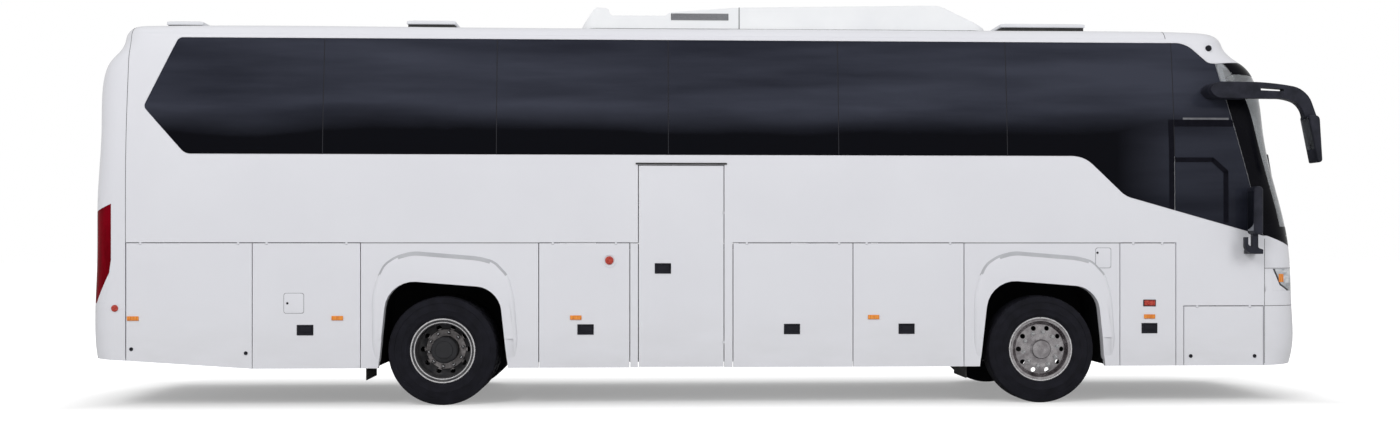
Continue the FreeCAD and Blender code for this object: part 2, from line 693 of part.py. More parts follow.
arm_length = 600.0
shaft_x = along(ENTRANCE[1]) + front_gap - 70
shaft_y = 1150.0
shaft_radius = 22.0
door_pin_x = shaft_x - arm_length
ARM_HEIGHTS = (600.0, 2250.0)
arm_half = (12.0, 20.0)
eye_radius = 22.0
door_pin = 9.0
brackets = []
for z in ARM_HEIGHTS:
    ear_z = arm_half[1] + 5
    bracket = box(door_pin_x - 25, door_pin_x + 25, 1190 - 12, 1215, z - ear_z - 12, z + ear_z + 12)
    for low in (z - ear_z - 12, z + ear_z):
        bracket = bracket.fuse(box(door_pin_x - 18, door_pin_x + 18, shaft_y - 16, 1190, low, low + 12))
    bracket = bracket.fuse(Part.makeCylinder(door_pin, 2 * ear_z + 24, Vector(float(door_pin_x), shaft_y, z - ear_z - 12)))
    brackets.append(bracket)
door_solid = door_leaf.cut([face_prism(door_glass_face(0), LEFT).cut(under_glass), face_prism(door_glass_face(RING), LEFT)])
shaped("entrance_door", door_solid.fuse(brackets))
shaped("entrance_door_glass", glass_layer.common(face_prism(door_glass_face(3), LEFT)))
arm_pieces = [Part.makeCylinder(shaft_radius, 1929.6, Vector(float(shaft_x), shaft_y, 400.4))]
for z in ARM_HEIGHTS:
    arm_pieces.append(box(door_pin_x, shaft_x, shaft_y - arm_half[0], shaft_y + arm_half[0], z - arm_half[1], z + arm_half[1]))
    arm_pieces.append(Part.makeCylinder(eye_radius, 2 * arm_half[1], Vector(float(door_pin_x), shaft_y, z - arm_half[1])))
arms = arm_pieces[0].fuse(arm_pieces[1:])
arms = arms.cut([Part.makeCylinder(door_pin + float(dim("pin_clearance")), 200.0, Vector(float(door_pin_x), shaft_y, z - 100)) for z in ARM_HEIGHTS])
shaped("door_arms", arms)


# Inside: floors, steps, bulkheads and wheel housings
floor_top = float(dim("saloon_floor_top"))
floor_foot = floor_top - float(dim("floor_thickness"))
cab_top = float(dim("cab_floor_top"))
cab_foot = cab_top - float(dim("floor_thickness"))
hold_top = float(dim("hold_floor_top"))
STAIRWELL = (along(1850), along(2730), -1300.0, -420.0)
cab_start = along(6520)
main_floor = lining.common(box(rear_face_x + 100, cab_start, -1300, 1300, floor_foot, floor_top))
main_floor = main_floor.cut(box(STAIRWELL[0], STAIRWELL[1], STAIRWELL[2], STAIRWELL[3], 0, 4000))
riser = lining.common(box(cab_start - 40, cab_start, -1300, 1300, cab_top + CLEAR, floor_foot - CLEAR))
cab_floor = lining.common(box(cab_start - 40, along(8300), -1300, 1300, cab_foot, cab_top))
aisle_step = box(cab_start + CLEAR, cab_start + 260, -300, 350, cab_top + CLEAR, 1285)
well = box(along(ENTRANCE[0]) - 10, along(ENTRANCE[1]) + 25, 420, 1300, 0, cab_top + 10)
entry_steps = []
for level, (top, inner) in enumerate(((400.0, 420.0), (610.0, 420.0), (815.0, 420.0))):
    outer = 1150.0 - level * 240.0
    entry_steps.append(lining.common(box(along(ENTRANCE[0]) - 10, along(ENTRANCE[1]) + 25, inner,
                                         1300 if level == 0 else outer - 40, top - 40 if level == 0 else top - 215, top)))
step_sides = [lining.common(box(x, x + 20, 420, 1300, 360, cab_top)) for x in (along(ENTRANCE[0]) - 30, along(ENTRANCE[1]) + 25)]
step_back = box(along(ENTRANCE[0]) - 30, along(ENTRANCE[1]) + 45, 400, 420, 360, cab_top)
cab_deck = cab_floor.cut(well).fuse([step_back] + step_sides + entry_steps)
shaped("saloon_floor", Part.makeCompound(main_floor.Solids + riser.Solids + cab_deck.Solids + [aisle_step]))

hold = lining.common(box(along(900), along(5050), -1300, 1300, hold_top - 40, hold_top))
bulkheads = [lining.common(box(along(x), along(x) + 20, -1300, 1300, hold_top - 40, floor_foot)) for x in (880, 5050)]
well_sides = [lining.common(box(x, x + 20, -1300, STAIRWELL[3] + 20, hold_top - 10, floor_foot))
              for x in (STAIRWELL[0] - 20, STAIRWELL[1])]
well_back = box(STAIRWELL[0] - 20, STAIRWELL[1] + 20, STAIRWELL[3], STAIRWELL[3] + 20, hold_top - 10, floor_foot)
well_steps = [box(STAIRWELL[0], STAIRWELL[1], -1190 + 250 * level, STAIRWELL[3], hold_top - 10, hold_top + 275 * level)
              for level in (1, 2, 3)]
shaped("hold", hold.fuse(bulkheads + well_sides + [well_back] + well_steps))

LINER_GROW, LINER_THICK = 20.0, 8.0
AXLE_SLOT = 110.0
housing_pieces = []
for axle, inner_y in ((rear_axle_x, 571.0), (front_axle_x, 563.0)):
    ring = wheel_opening(axle, LINER_GROW + LINER_THICK).cut(wheel_opening(axle, LINER_GROW))
    disc = wheel_opening(axle, LINER_GROW + LINER_THICK)
    for side in (RIGHT, LEFT):
        shell_face = ring.copy()
        shell_face.translate(Vector(0, side * inner_y, 0))
        plate_face = disc.copy()
        plate_face.translate(Vector(0, side * (inner_y - LINER_THICK), 0))
        housing = shell_face.extrude(Vector(0, side * 700.0, 0)).fuse(plate_face.extrude(Vector(0, side * LINER_THICK, 0)))
        axle_slot = slab(axle - AXLE_SLOT, axle + AXLE_SLOT, 0, 640)
        below = slab(along(-2000), along(7000), 0, float(skirt) + 10)
        housing_pieces.append(housing.common(lining).cut([below, axle_slot]))
shaped("wheel_housings", Part.makeCompound(housing_pieces))


def block(name, x0, x1, y0, y1, z0, z1):
    """A box of the document between two corners, tied to the sheet."""
    thing = doc.addObject("Part::Box", name)
    bind(thing, Length=x1 - x0, Width=y1 - y0, Height=z1 - z0)
    place(thing, x0, y0, z0)
    return thing


def rod(name, x, y, z, radius, length, axis=None, turn=0.0):
    """A cylinder of the document, tied to the sheet."""
    thing = doc.addObject("Part::Cylinder", name)
    bind(thing, Radius=radius, Height=length)
    place(thing, x, y, z, axis, turn)
    return thing


def joined(label, pieces):
    """Several pieces of the document made one sub-part."""
    thing = doc.addObject("Part::MultiFuse", label)
    thing.Shapes = pieces
    return subpart(thing, label)


def grouped(label, pieces):
    """Several separate pieces of the document in one sub-part."""
    thing = doc.addObject("Part::Compound", label)
    thing.Links = pieces
    return subpart(thing, label)


# Chassis frames: two rails with cross-members, behind and ahead of the hold
rail_foot, rail_top_z = Size(700, "700"), Size(840, "840")
frame_pieces = []
for side, name in ((RIGHT, "right"), (LEFT, "left")):
    y_rear = sorted((side * 480.0, side * 556.0))
    y_front = sorted((side * 300.0, side * 380.0))
    frame_pieces.append(block(f"rear_rail_{name}", rear_face_x + 120, rear_axle_x + 879.5, *y_rear, 700, 840))
    frame_pieces.append(block(f"front_rail_{name}", rear_axle_x + 5070.5, rear_axle_x + 8250, *y_front, 700, 840))
    for station in (-3100, -2000):
        frame_pieces.append(block(f"engine_hanger_{name}_{-station}", along(station), along(station) + 80, *y_rear, 480, 710))
for side, name in ((RIGHT, "right"), (LEFT, "left")):
    y_arm = sorted((side * 500.0, side * 1170.0))
    frame_pieces.append(block(f"mud_flap_arm_{name}", along(-727), along(-697), *y_arm, 650, 710))
for station in (-3100, -2000):
    frame_pieces.append(block(f"engine_bearer_{-station}", along(station), along(station) + 80, -500, 500, 480, 549.6))
for station in (-1500, -700, 620, 799.5):
    frame_pieces.append(block(f"rear_cross_member_{station + 2000}".replace(".", "_"), along(station), along(station) + 80, -500, 500, 720, 820))
for station in (5070.5, 5350, 6350, 8170):
    frame_pieces.append(block(f"front_cross_member_{int(station)}", along(station), along(station) + 80, -340, 340, 720, 820))
for station, top in ((-2900, floor_foot), (-1400, floor_foot), (700, floor_foot), (5100, floor_foot), (6560, cab_foot), (8100, cab_foot)):
    for y in ((-520, 480) if station < 2000 else (-360, 320)):
        frame_pieces.append(block(f"post_{station + 4000}_{y + 1000}", along(station), along(station) + 60, y, y + 40, 830, top))
frame_pieces.append(rod("tow_tube", along(8170), TOW_EYE[0], TOW_EYE[1], 36, 295, Vector(0, 1, 0), 90))
frame_blank = doc.addObject("Part::MultiFuse", "frame_blank")
frame_blank.Shapes = frame_pieces
frame = doc.addObject("Part::Cut", "chassis_frame")
frame.Base = frame_blank
frame.Tool = rod("tow_bore", along(8325), TOW_EYE[0], TOW_EYE[1], 20, 300, Vector(0, 1, 0), 90)
subpart(frame, "chassis_frame")
subpart(block("engine", along(-3200), along(-1900), -450, 450, 550, 1400), "engine")


# Axles, air springs and knuckles
X_AXIS, Y_AXIS, Z_AXIS = Vector(1, 0, 0), Vector(0, 1, 0), Vector(0, 0, 1)
wheel_z = dim("tyre_radius")
tyre_width = dim("tyre_width")
tyre_y = dim("tyre_outer_face") - tyre_width / 2
twin_y = tyre_y - dim("twin_spacing")
stub = dim("stub_radius")
kingpin_y = dim("kingpin_offset")
SIDES = ((RIGHT, "right"), (LEFT, "left"))


def cross_rod(name, x, z, radius, y0, y1):
    """A cylinder across the coach from y0 to y1."""
    return rod(name, x, y1, z, radius, y1 - y0, X_AXIS, 90)


def span(side, near, far):
    """The interval on one side between two distances from the middle."""
    return (near, far) if side == LEFT else (-far, -near)


rear_axle = [cross_rod("rear_axle_tube", rear_axle_x, wheel_z, 70, -600, 600),
             cross_rod("rear_axle_stub", rear_axle_x, wheel_z, stub, -(tyre_y + twin_y) / 2 - 85, (tyre_y + twin_y) / 2 + 85)]
banjo = doc.addObject("Part::Sphere", "banjo")
bind(banjo, Radius=190)
place(banjo, rear_axle_x, 0, wheel_z)
rear_axle.append(banjo)
front_axle = [block("front_beam", front_axle_x - 40, front_axle_x + 40, 20 - kingpin_y, kingpin_y - 20,
                    wheel_z - 70, wheel_z + 40)]
springs = []
for side, name in SIDES:
    y0, y1 = span(side, 440, 556)
    rear_axle.append(block(f"rear_carrier_{name}", rear_axle_x - 480, rear_axle_x + 480, y0, y1, 420, 480))
    for x, end in ((-400, "rear"), (400, "front")):
        springs.append(rod(f"rear_spring_{end}_{name}", rear_axle_x + x, side * 500, 480, 56, 220))
    y0, y1 = span(side, 290, 390)
    front_axle.append(block(f"front_carrier_{name}", front_axle_x - 330, front_axle_x + 330, y0, y1, 470, 530))
    for x, end in ((-260, "rear"), (260, "front")):
        springs.append(rod(f"front_spring_{end}_{name}", front_axle_x + x, side * 340, 530, 50, 170))
    front_axle.append(rod(f"kingpin_boss_{name}", front_axle_x, kingpin_y * side, wheel_z - 75, 42, 130))
    front_axle.append(rod(f"kingpin_{name}", front_axle_x, kingpin_y * side, wheel_z - 125, dim("kingpin_radius"), 230))
joined("rear_axle", rear_axle)
joined("front_axle", front_axle)
grouped("air_springs", springs)
for side, name in SIDES:
    ears = [rod(f"ear_low_{name}", front_axle_x, kingpin_y * side, wheel_z - 120, 45, 40),
            rod(f"ear_high_{name}", front_axle_x, kingpin_y * side, wheel_z + 60, 45, 40)]
    for z, end in ((-120, "low"), (60, "high")):
        y0, y1 = span(side, kingpin_y, kingpin_y + 80)
        ears.append(block(f"ear_block_{end}_{name}", front_axle_x - 45, front_axle_x + 45, y0, y1, wheel_z + z, wheel_z + z + 40))
    y0, y1 = span(side, kingpin_y + 48, kingpin_y + 80)
    ears.append(block(f"knuckle_web_{name}", front_axle_x - 45, front_axle_x + 45, y0, y1, wheel_z - 120, wheel_z + 100))
    y0, y1 = span(side, kingpin_y + 60, tyre_y + 110)
    ears.append(cross_rod(f"knuckle_stub_{name}", front_axle_x, wheel_z, stub, y0, y1))
    solid = doc.addObject("Part::MultiFuse", f"knuckle_blank_{name}")
    solid.Shapes = ears
    bore = rod(f"kingpin_bore_{name}", front_axle_x, kingpin_y * side, wheel_z - 200, dim("kingpin_radius") + dim("pin_clearance"), 400)
    knuckle = doc.addObject("Part::Cut", f"knuckle_{name}")
    knuckle.Base = solid
    knuckle.Tool = bore
    subpart(knuckle, f"knuckle_{name}")


# Wheels: revolved tyres and rims, lying across the coach
def revolved(name, profile, centre_x, centre_y, flip):
    """A body revolved about its own Y axis from (radius, width) points, set down at a wheel's centre."""
    body = doc.addObject("PartDesign::Body", name)
    plane = next(item for item in body.Origin.OriginFeatures if item.Role == "XY_Plane")
    sketch = body.newObject("Sketcher::SketchObject", f"{name}_profile")
    sketch.AttachmentSupport = [(plane, "")]
    sketch.MapMode = "FlatFace"
    count = len(profile)
    for index, (radius, width) in enumerate(profile):
        following = profile[(index + 1) % count]
        sketch.addGeometry(Part.LineSegment(Vector(float(radius), float(width), 0),
                                            Vector(float(following[0]), float(following[1]), 0)), False)
    for index in range(count):
        sketch.addConstraint(Sketcher.Constraint("Coincident", index, 2, (index + 1) % count, 1))
    for index, point in enumerate(profile):
        for kind, value in (("DistanceX", point[0]), ("DistanceY", point[1])):
            number = sketch.addConstraint(Sketcher.Constraint(kind, -1, 1, index, 1, float(value)))
            if isinstance(value, Size):
                sketch.setExpression(f"Constraints[{number}]", value.text)
    doc.recompute()
    turn = body.newObject("PartDesign::Revolution", f"{name}_turn")
    turn.Profile = sketch
    turn.ReferenceAxis = (sketch, ["V_Axis"])
    turn.Angle = 360
    sketch.Visibility = False
    place(body, centre_x, centre_y, wheel_z, Z_AXIS, 180 if flip else 0)
    return body


tyre_r = dim("tyre_radius")
seat_r = dim("rim_seat_radius")
flange_r = dim("rim_flange_radius")
TYRE_PROFILE = [(seat_r + CLEAR, -104), (seat_r + 14, -104), (seat_r + 60, 2 - tyre_width / 2), (tyre_r - 130, -tyre_width / 2),
                (tyre_r - 50, 8 - tyre_width / 2), (tyre_r - 12, -128), (tyre_r, -100), (tyre_r, 100), (tyre_r - 12, 128),
                (tyre_r - 50, tyre_width / 2 - 8), (tyre_r - 130, tyre_width / 2), (seat_r + 60, tyre_width / 2 - 2),
                (seat_r + 14, 104), (seat_r + CLEAR, 104)]
bore_r = stub + dim("stub_clearance")
hub_r = dim("hub_radius")
FRONT_RIM = [(bore_r, -30), (hub_r - 20, -30), (hub_r - 20, 84), (hub_r + 30, 92), (235, 64), (262, 30), (262, -112),
             (flange_r - 4, -118), (flange_r, -112), (flange_r - 2, -105), (seat_r, -104.5), (seat_r, 104.5),
             (flange_r - 2, 105), (flange_r, 112), (flange_r - 4, 118), (274, 112), (270, 60), (240, 84), (hub_r + 35, 106),
             (hub_r, 104), (95, 108), (80, 122), (95, 140), (86, 152), (50, 158), (0.5, 160), (0.5, 112), (bore_r, 112)]
REAR_RIM = [(bore_r, -250), (120, -250), (120, -12), (165, -12), (250, -62), (262, -74), (262, -271),
            (flange_r - 4, -283), (flange_r, -277), (flange_r - 2, -270), (seat_r, -269.5), (seat_r, -60.5),
            (flange_r - 2, -60), (flange_r, -53), (flange_r - 4, -47), (272, -52), (185, -1), (185, 1), (272, 52),
            (flange_r - 4, 47), (flange_r, 53), (flange_r - 2, 60), (seat_r, 60.5), (seat_r, 269.5),
            (flange_r - 2, 270), (flange_r, 277), (flange_r - 4, 283), (262, 271), (262, 74), (250, 62), (165, 12),
            (120, 12), (118, 110), (100, 118), (98, 160), (85, 172), (60, 178), (0.5, 180), (0.5, 90), (bore_r, 90)]


def hand_holes(body, name, radius, place_radius, count):
    """Round holes through the disc of a rim, spaced evenly round its axis."""
    plane = next(item for item in body.Origin.OriginFeatures if item.Role == "XZ_Plane")
    sketch = body.newObject("Sketcher::SketchObject", f"{name}_hole")
    sketch.AttachmentSupport = [(plane, "")]
    sketch.MapMode = "FlatFace"
    sketch.addGeometry(Part.Circle(Vector(place_radius, 0, 0), Vector(0, 0, 1), radius), False)
    pocket = body.newObject("PartDesign::Pocket", f"{name}_hand_hole")
    pocket.Profile = sketch
    pocket.Type = "ThroughAll"
    pocket.SideType = "Symmetric"
    ring = body.newObject("PartDesign::PolarPattern", f"{name}_hand_holes")
    ring.Originals = [pocket]
    ring.Axis = (next(item for item in body.Origin.OriginFeatures if item.Role == "Y_Axis"), [""])
    ring.Angle = 360
    ring.Occurrences = count
    body.Tip = ring
    return body


for side, name in SIDES:
    flip = side == RIGHT
    subpart(revolved(f"tyre_front_{name}", TYRE_PROFILE, front_axle_x, tyre_y * side, flip), f"tyre_front_{name}")
    front = revolved(f"wheel_front_{name}", FRONT_RIM, front_axle_x, tyre_y * side, flip)
    subpart(hand_holes(front, f"front_{name}", 24, 212, 10), f"wheel_front_{name}")
    outer = revolved(f"tyre_outer_{name}", TYRE_PROFILE, rear_axle_x, tyre_y * side, flip)
    inner = revolved(f"tyre_inner_{name}", TYRE_PROFILE, rear_axle_x, twin_y * side, flip)
    grouped(f"tyres_rear_{name}", [outer, inner])
    rear = revolved(f"wheel_rear_{name}", REAR_RIM, rear_axle_x, (tyre_y + twin_y) / 2 * side, flip)
    subpart(hand_holes(rear, f"rear_{name}", 26, 218, 10), f"wheel_rear_{name}")

# Seats: rows of double seats on pedestals, and the driver's seat
SEAT_PROFILE = [(-60, 60), (330, 60), (330, 380, 20), (460, 380, 40), (470, 500, 50), (110, 490, 60), (-90, 1130, 60),
                (-200, 1150, 60), (-180, 1000, 200), (-80, 380, 40), (-60, 330, 20)]


def seat(x, y0, y1, floor_z):
    """One seat, or a pair of them side by side, on its pedestal."""
    outline = [(x + point[0], floor_z + point[1] - 60, *point[2:]) for point in SEAT_PROFILE]
    face = polygon(outline)
    face.translate(Vector(0, y0, 0))
    return face.extrude(Vector(0, y1 - y0, 0))


seats = []
for row in range(11):
    x = along(-2480 + row * 790)
    for y0, y1 in ((300, 1130), (-1130, -300)):
        if y0 < 0 and STAIRWELL[0] - 480 < x < STAIRWELL[1] + 220:
            continue
        seats.append(seat(x, y0, y1, floor_top))
shaped("passenger_seats", Part.makeCompound(seats))
DRIVER = (along(7000), -620.0)
shaped("driver_seat", seat(DRIVER[0], DRIVER[1] - 240, DRIVER[1] + 240, cab_top))

# Dashboard, steering wheel and parcel racks
DASH_PROFILE = [(0, 0), (0, 420, 60), (-120, 560, 60), (-60, 640, 60), (300, 590, 200), (620, 500), (620, 0)]
dash_face = polygon([(along(7700) + point[0], cab_top + point[1], *point[2:]) for point in DASH_PROFILE])
dashboard = through(dash_face).common(lining).common(slab(0, along(8290), 0, 4000))
column_angle = -28.0
column_hole = Part.makeCylinder(30 + CLEAR, 400, Vector(0, 0, -335))
column_hole.Placement = Placement(Vector(float(along(7480)), DRIVER[1], 1790), Rotation(Y_AXIS, column_angle))
dashboard = dashboard.cut([box(along(ENTRANCE[0]), along(ENTRANCE[1]) + 60, 380, 1300, 0, 4000), column_hole])
shaped("dashboard", max(dashboard.Solids, key=lambda solid: solid.Volume))
wheel_ring = doc.addObject("Part::Torus", "wheel_ring")
bind(wheel_ring, Radius1=225, Radius2=16)
wheel_hub = rod("wheel_hub", 0, 0, -35, 45, 50)
column = rod("column", 0, 0, -330, 30, 320)
spoke = block("spoke", -215, 215, -18, 18, -22, 0)
steering = joined("steering_wheel", [wheel_ring, wheel_hub, column, spoke])
place(steering, along(7480), DRIVER[1], 1790, Y_AXIS, column_angle)
RACK = [(1180, 3190), (820, 3190, 30), (780, 3120, 30), (800, 2960, 40), (1000, 2930), (1180, 2960)]
rack_pieces = []
for side in (RIGHT, LEFT):
    face = Part.Face(rounded_wire([(side * point[0], point[1], *point[2:]) for point in RACK]))
    face.rotate(Vector(0, 0, 0), Z_AXIS, 90)
    face.translate(Vector(float(along(-2800)), 0, 0))
    rack_pieces.append(face.extrude(Vector(9200, 0, 0)).common(lining))
shaped("parcel_racks", Part.makeCompound(rack_pieces))


# Mirrors, roof air conditioner, wipers, lamps and mud flaps
def tube(points, radius, bend):
    """A round arm through points, its corners turned by arcs of a bend radius."""
    nodes = [Vector(*(float(v) for v in point)) for point in points]
    edges, start = [], nodes[0]
    for before, here, after in zip(nodes, nodes[1:], nodes[2:]):
        back, ahead = before - here, after - here
        angle = back.getAngle(ahead)
        reach = bend / math.tan(angle / 2)
        back.normalize()
        ahead.normalize()
        bisector = back + ahead
        bisector.normalize()
        enter, leave = here + back * reach, here + ahead * reach
        edges.append(Part.LineSegment(start, enter).toShape())
        edges.append(Part.Arc(enter, here + bisector * (bend / math.sin(angle / 2) - bend), leave).toShape())
        start = leave
    edges.append(Part.LineSegment(start, nodes[-1]).toShape())
    path = Part.Wire(edges)
    first = nodes[1] - nodes[0]
    circle = Part.Wire(Part.Circle(nodes[0], first, radius).toShape())
    return path.makePipeShell([circle], True, True)


def mirror_head(x, y, z, deep, wide, tall):
    """A mirror housing: an upright block with all its edges rounded."""
    head = box(x - deep / 2, x + deep / 2, y - wide / 2, y + wide / 2, z - tall / 2, z + tall / 2)
    return head.makeFillet(min(deep, wide) * 0.3, head.Edges)


skin_grown = body_solid(-CLEAR)
mirror_tip = front_face_x + dim("mirror_reach")
high_arm = tube([(along(7500), -1110, 3060), (along(7600), -1330, 3070), (along(8330), -1400, 3080),
                 (mirror_tip - 110, -1420, 2720)], 38, 70)
high_head = mirror_head(mirror_tip - 105, -1420, 2575, 210, 260, 470)
high_mirror = high_arm.cut(skin_grown).fuse(high_head)
low_arm = tube([(along(7930), -1150, 1520), (along(7930), -1390, 1530), (along(7920), -1395, 1720)], 26, 60)
low_head = mirror_head(along(7915), -1400, 1880, 150, 220, 450)
mirrors = [max(high_mirror.Solids, key=lambda s: s.Volume), max(low_arm.cut(skin_grown).fuse(low_head).Solids, key=lambda s: s.Volume)]
mirrors.append(mirrored(mirrors[0]))
shaped("mirrors", Part.makeCompound(mirrors))

POD = [(1310, 3500), (1310, 3700, 60), (1450, 3895, 60), (1580, 3885, 40), (1600, 3815, 30), (2140, 3815, 30), (2200, 3850, 30),
       (2860, 3900, 60), (4880, 3935, 300), (5370, 3700, 60), (5370, 3500)]
pod_face = polygon([(along(point[0]), *point[1:]) for point in POD])
pod_face.translate(Vector(0, -820, 0))
pod = pod_face.extrude(Vector(0, 1640, 0))
pod_plan = Part.Face(rounded_wire([(along(1310), -820, 160), (along(5370), -820, 160), (along(5370), 820, 160), (along(1310), 820, 160)]))
pod_plan.rotate(Vector(0, 0, 0), X_AXIS, 90)
pod_plan.translate(Vector(0, 0, 3400))
pod = pod.common(pod_plan.extrude(Vector(0, 0, 800))).cut(skin_grown)
shaped("roof_air_conditioner", max(pod.Solids, key=lambda s: s.Volume))

fitted_layer = body_solid(-16.0).cut(skin_grown)
wiper_pieces = []
for y, turn in ((-560.0, 24.0), (520.0, 24.0)):
    arm = Part.makeBox(900, 26, 1050, Vector(0, -13, 0))
    arm.rotate(Vector(0, 0, 0), X_AXIS, turn)
    arm.translate(Vector(float(along(7900)), y, 1480))
    wiper_pieces.append(max(fitted_layer.common(arm).Solids, key=lambda s: s.Volume))
shaped("wipers", Part.makeCompound(wiper_pieces))

lamp_pieces = []
for station in (-2885, -950, 1335, 4180, 6600):
    lamp_pieces.append(fitted_layer.common(box(along(station) - 40, along(station) + 40, -1400, -1000, 745, 800)))
markers = [max(piece.Solids, key=lambda s: s.Volume) for piece in lamp_pieces]
shaped("side_lamps", Part.makeCompound(markers + [mirrored(marker) for marker in markers]))

flaps = []
for x in (along(-727) - CLEAR - 8, along(5070) + CLEAR):
    for side in (RIGHT, LEFT):
        y0, y1 = span(side, 640.0, 1180.0)
        flaps.append(box(x, x + 8, y0, y1, 240, 700))
shaped("mud_flaps", Part.makeCompound(flaps))


# Check every object, then write each sub-part
doc.recompute()
for thing in doc.Objects:
    if "Invalid" in thing.State or "Error" in thing.State:
        raise RuntimeError(f"{thing.Label} failed: {thing.State}")
for thing in SUBPARTS:
    if thing.Shape.isNull() or not thing.Shape.isValid():
        raise RuntimeError(f"{thing.Label} has no valid shape")
os.makedirs("parts", exist_ok=True)
for thing in SUBPARTS:
    thing.Shape.exportStep(f"parts/{thing.Label}.step")
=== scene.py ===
import bpy
import math
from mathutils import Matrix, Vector


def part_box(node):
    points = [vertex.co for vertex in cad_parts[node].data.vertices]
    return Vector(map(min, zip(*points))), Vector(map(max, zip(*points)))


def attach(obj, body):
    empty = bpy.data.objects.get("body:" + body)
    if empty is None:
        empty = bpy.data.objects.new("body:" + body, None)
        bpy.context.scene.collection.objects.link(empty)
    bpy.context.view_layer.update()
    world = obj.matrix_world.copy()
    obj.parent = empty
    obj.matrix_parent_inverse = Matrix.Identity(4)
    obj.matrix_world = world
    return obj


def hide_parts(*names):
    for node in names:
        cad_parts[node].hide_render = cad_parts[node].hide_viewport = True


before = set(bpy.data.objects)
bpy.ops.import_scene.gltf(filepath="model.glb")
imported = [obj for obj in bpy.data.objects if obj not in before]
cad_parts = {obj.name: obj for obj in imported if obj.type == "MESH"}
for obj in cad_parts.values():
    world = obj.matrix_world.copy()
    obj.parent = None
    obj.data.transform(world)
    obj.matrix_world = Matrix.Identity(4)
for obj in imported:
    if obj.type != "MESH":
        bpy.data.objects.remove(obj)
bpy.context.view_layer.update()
SIDES = ((-1, "right"), (1, "left"))  # the sign of y and the name of each side


# Body panels: welded sides and roof, moulded ends, flaps and doors, all in the same silver-grey coach paint.
# The paint has a clear coat, a faint ripple, and a little road film along the skirts.
def new_finish(name, rough, metallic=0.0, coat=0.0):
    """Starts a finish and gives its node tree and its shader."""
    finish = bpy.data.materials.new(name)
    finish.use_nodes = True
    shader = finish.node_tree.nodes["Principled BSDF"]
    shader.inputs["Roughness"].default_value = rough
    shader.inputs["Metallic"].default_value = metallic
    shader.inputs["Coat Weight"].default_value = coat
    shader.inputs["Coat Roughness"].default_value = 0.06
    return finish, finish.node_tree, shader


def noise(tree, scale, detail, stretch=(1, 1, 1)):
    """Noise over a piece's own coordinates, stretched along its axes."""
    place = tree.nodes.new("ShaderNodeTexCoord")
    mapping = tree.nodes.new("ShaderNodeMapping")
    mapping.inputs["Scale"].default_value = stretch
    texture = tree.nodes.new("ShaderNodeTexNoise")
    texture.inputs["Scale"].default_value = scale
    texture.inputs["Detail"].default_value = detail
    tree.links.new(place.outputs["Object"], mapping.inputs["Vector"])
    tree.links.new(mapping.outputs["Vector"], texture.inputs["Vector"])
    return texture.outputs["Fac"]


def spread(tree, factor, low, high, begin=0.35, finish=0.65):
    """Maps a factor onto a range of numbers or of colours."""
    if isinstance(low, tuple):
        ramp = tree.nodes.new("ShaderNodeValToRGB")
        ramp.color_ramp.elements[0].position = begin
        ramp.color_ramp.elements[0].color = (*low, 1)
        ramp.color_ramp.elements[1].position = finish
        ramp.color_ramp.elements[1].color = (*high, 1)
        tree.links.new(factor, ramp.inputs["Fac"])
        return ramp.outputs["Color"]
    ranged = tree.nodes.new("ShaderNodeMapRange")
    for socket, value in zip(("From Min", "From Max", "To Min", "To Max"), (begin, finish, low, high)):
        ranged.inputs[socket].default_value = value
    tree.links.new(factor, ranged.inputs["Value"])
    return ranged.outputs["Result"]


def bump(tree, shader, height, strength, distance):
    """Raises a surface by a height pattern."""
    node = tree.nodes.new("ShaderNodeBump")
    node.inputs["Strength"].default_value = strength
    node.inputs["Distance"].default_value = distance
    tree.links.new(height, node.inputs["Height"])
    tree.links.new(node.outputs["Normal"], shader.inputs["Normal"])


def feed(tree, socket, term):
    """Gives a socket a plain value or another node's output."""
    if isinstance(term, bpy.types.NodeSocket):
        tree.links.new(term, socket)
    else:
        socket.default_value = term


def coordinates(tree):
    """A piece's own X, Y and Z."""
    place = tree.nodes.new("ShaderNodeTexCoord")
    parts = tree.nodes.new("ShaderNodeSeparateXYZ")
    tree.links.new(place.outputs["Object"], parts.inputs["Vector"])
    return parts.outputs


def worked_out(tree, operation, *terms):
    """A number worked out from numbers and outputs."""
    node = tree.nodes.new("ShaderNodeMath")
    node.operation = operation
    for socket, term in zip(node.inputs, terms):
        feed(tree, socket, term)
    return node.outputs[0]


def mixed(tree, factor, first, second):
    """A colour between two others."""
    node = tree.nodes.new("ShaderNodeMix")
    node.data_type = "RGBA"
    for name, term in (("Factor", factor), ("A", first), ("B", second)):
        feed(tree, node.inputs[name], term)
    return node.outputs["Result"]


def mottled(name, dark, light, scale, rough, grain, grain_scale=400.0, metallic=0.0, coat=0.0, shine=0.5):
    """A finish whose colour and gloss wander a little, with a fine grain raised on it."""
    finish, tree, shader = new_finish(name, rough[0], metallic, coat)
    shader.inputs["Specular IOR Level"].default_value = shine
    cloud = noise(tree, scale, 4.0)
    tree.links.new(spread(tree, cloud, dark, light), shader.inputs["Base Color"])
    tree.links.new(spread(tree, cloud, rough[0], rough[1]), shader.inputs["Roughness"])
    bump(tree, shader, noise(tree, grain_scale, 2.0), grain, 0.001)
    return finish


def dress(finish, *names):
    """Gives CAD nodes a finish."""
    for name in names:
        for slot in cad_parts[name].material_slots:
            slot.material = finish


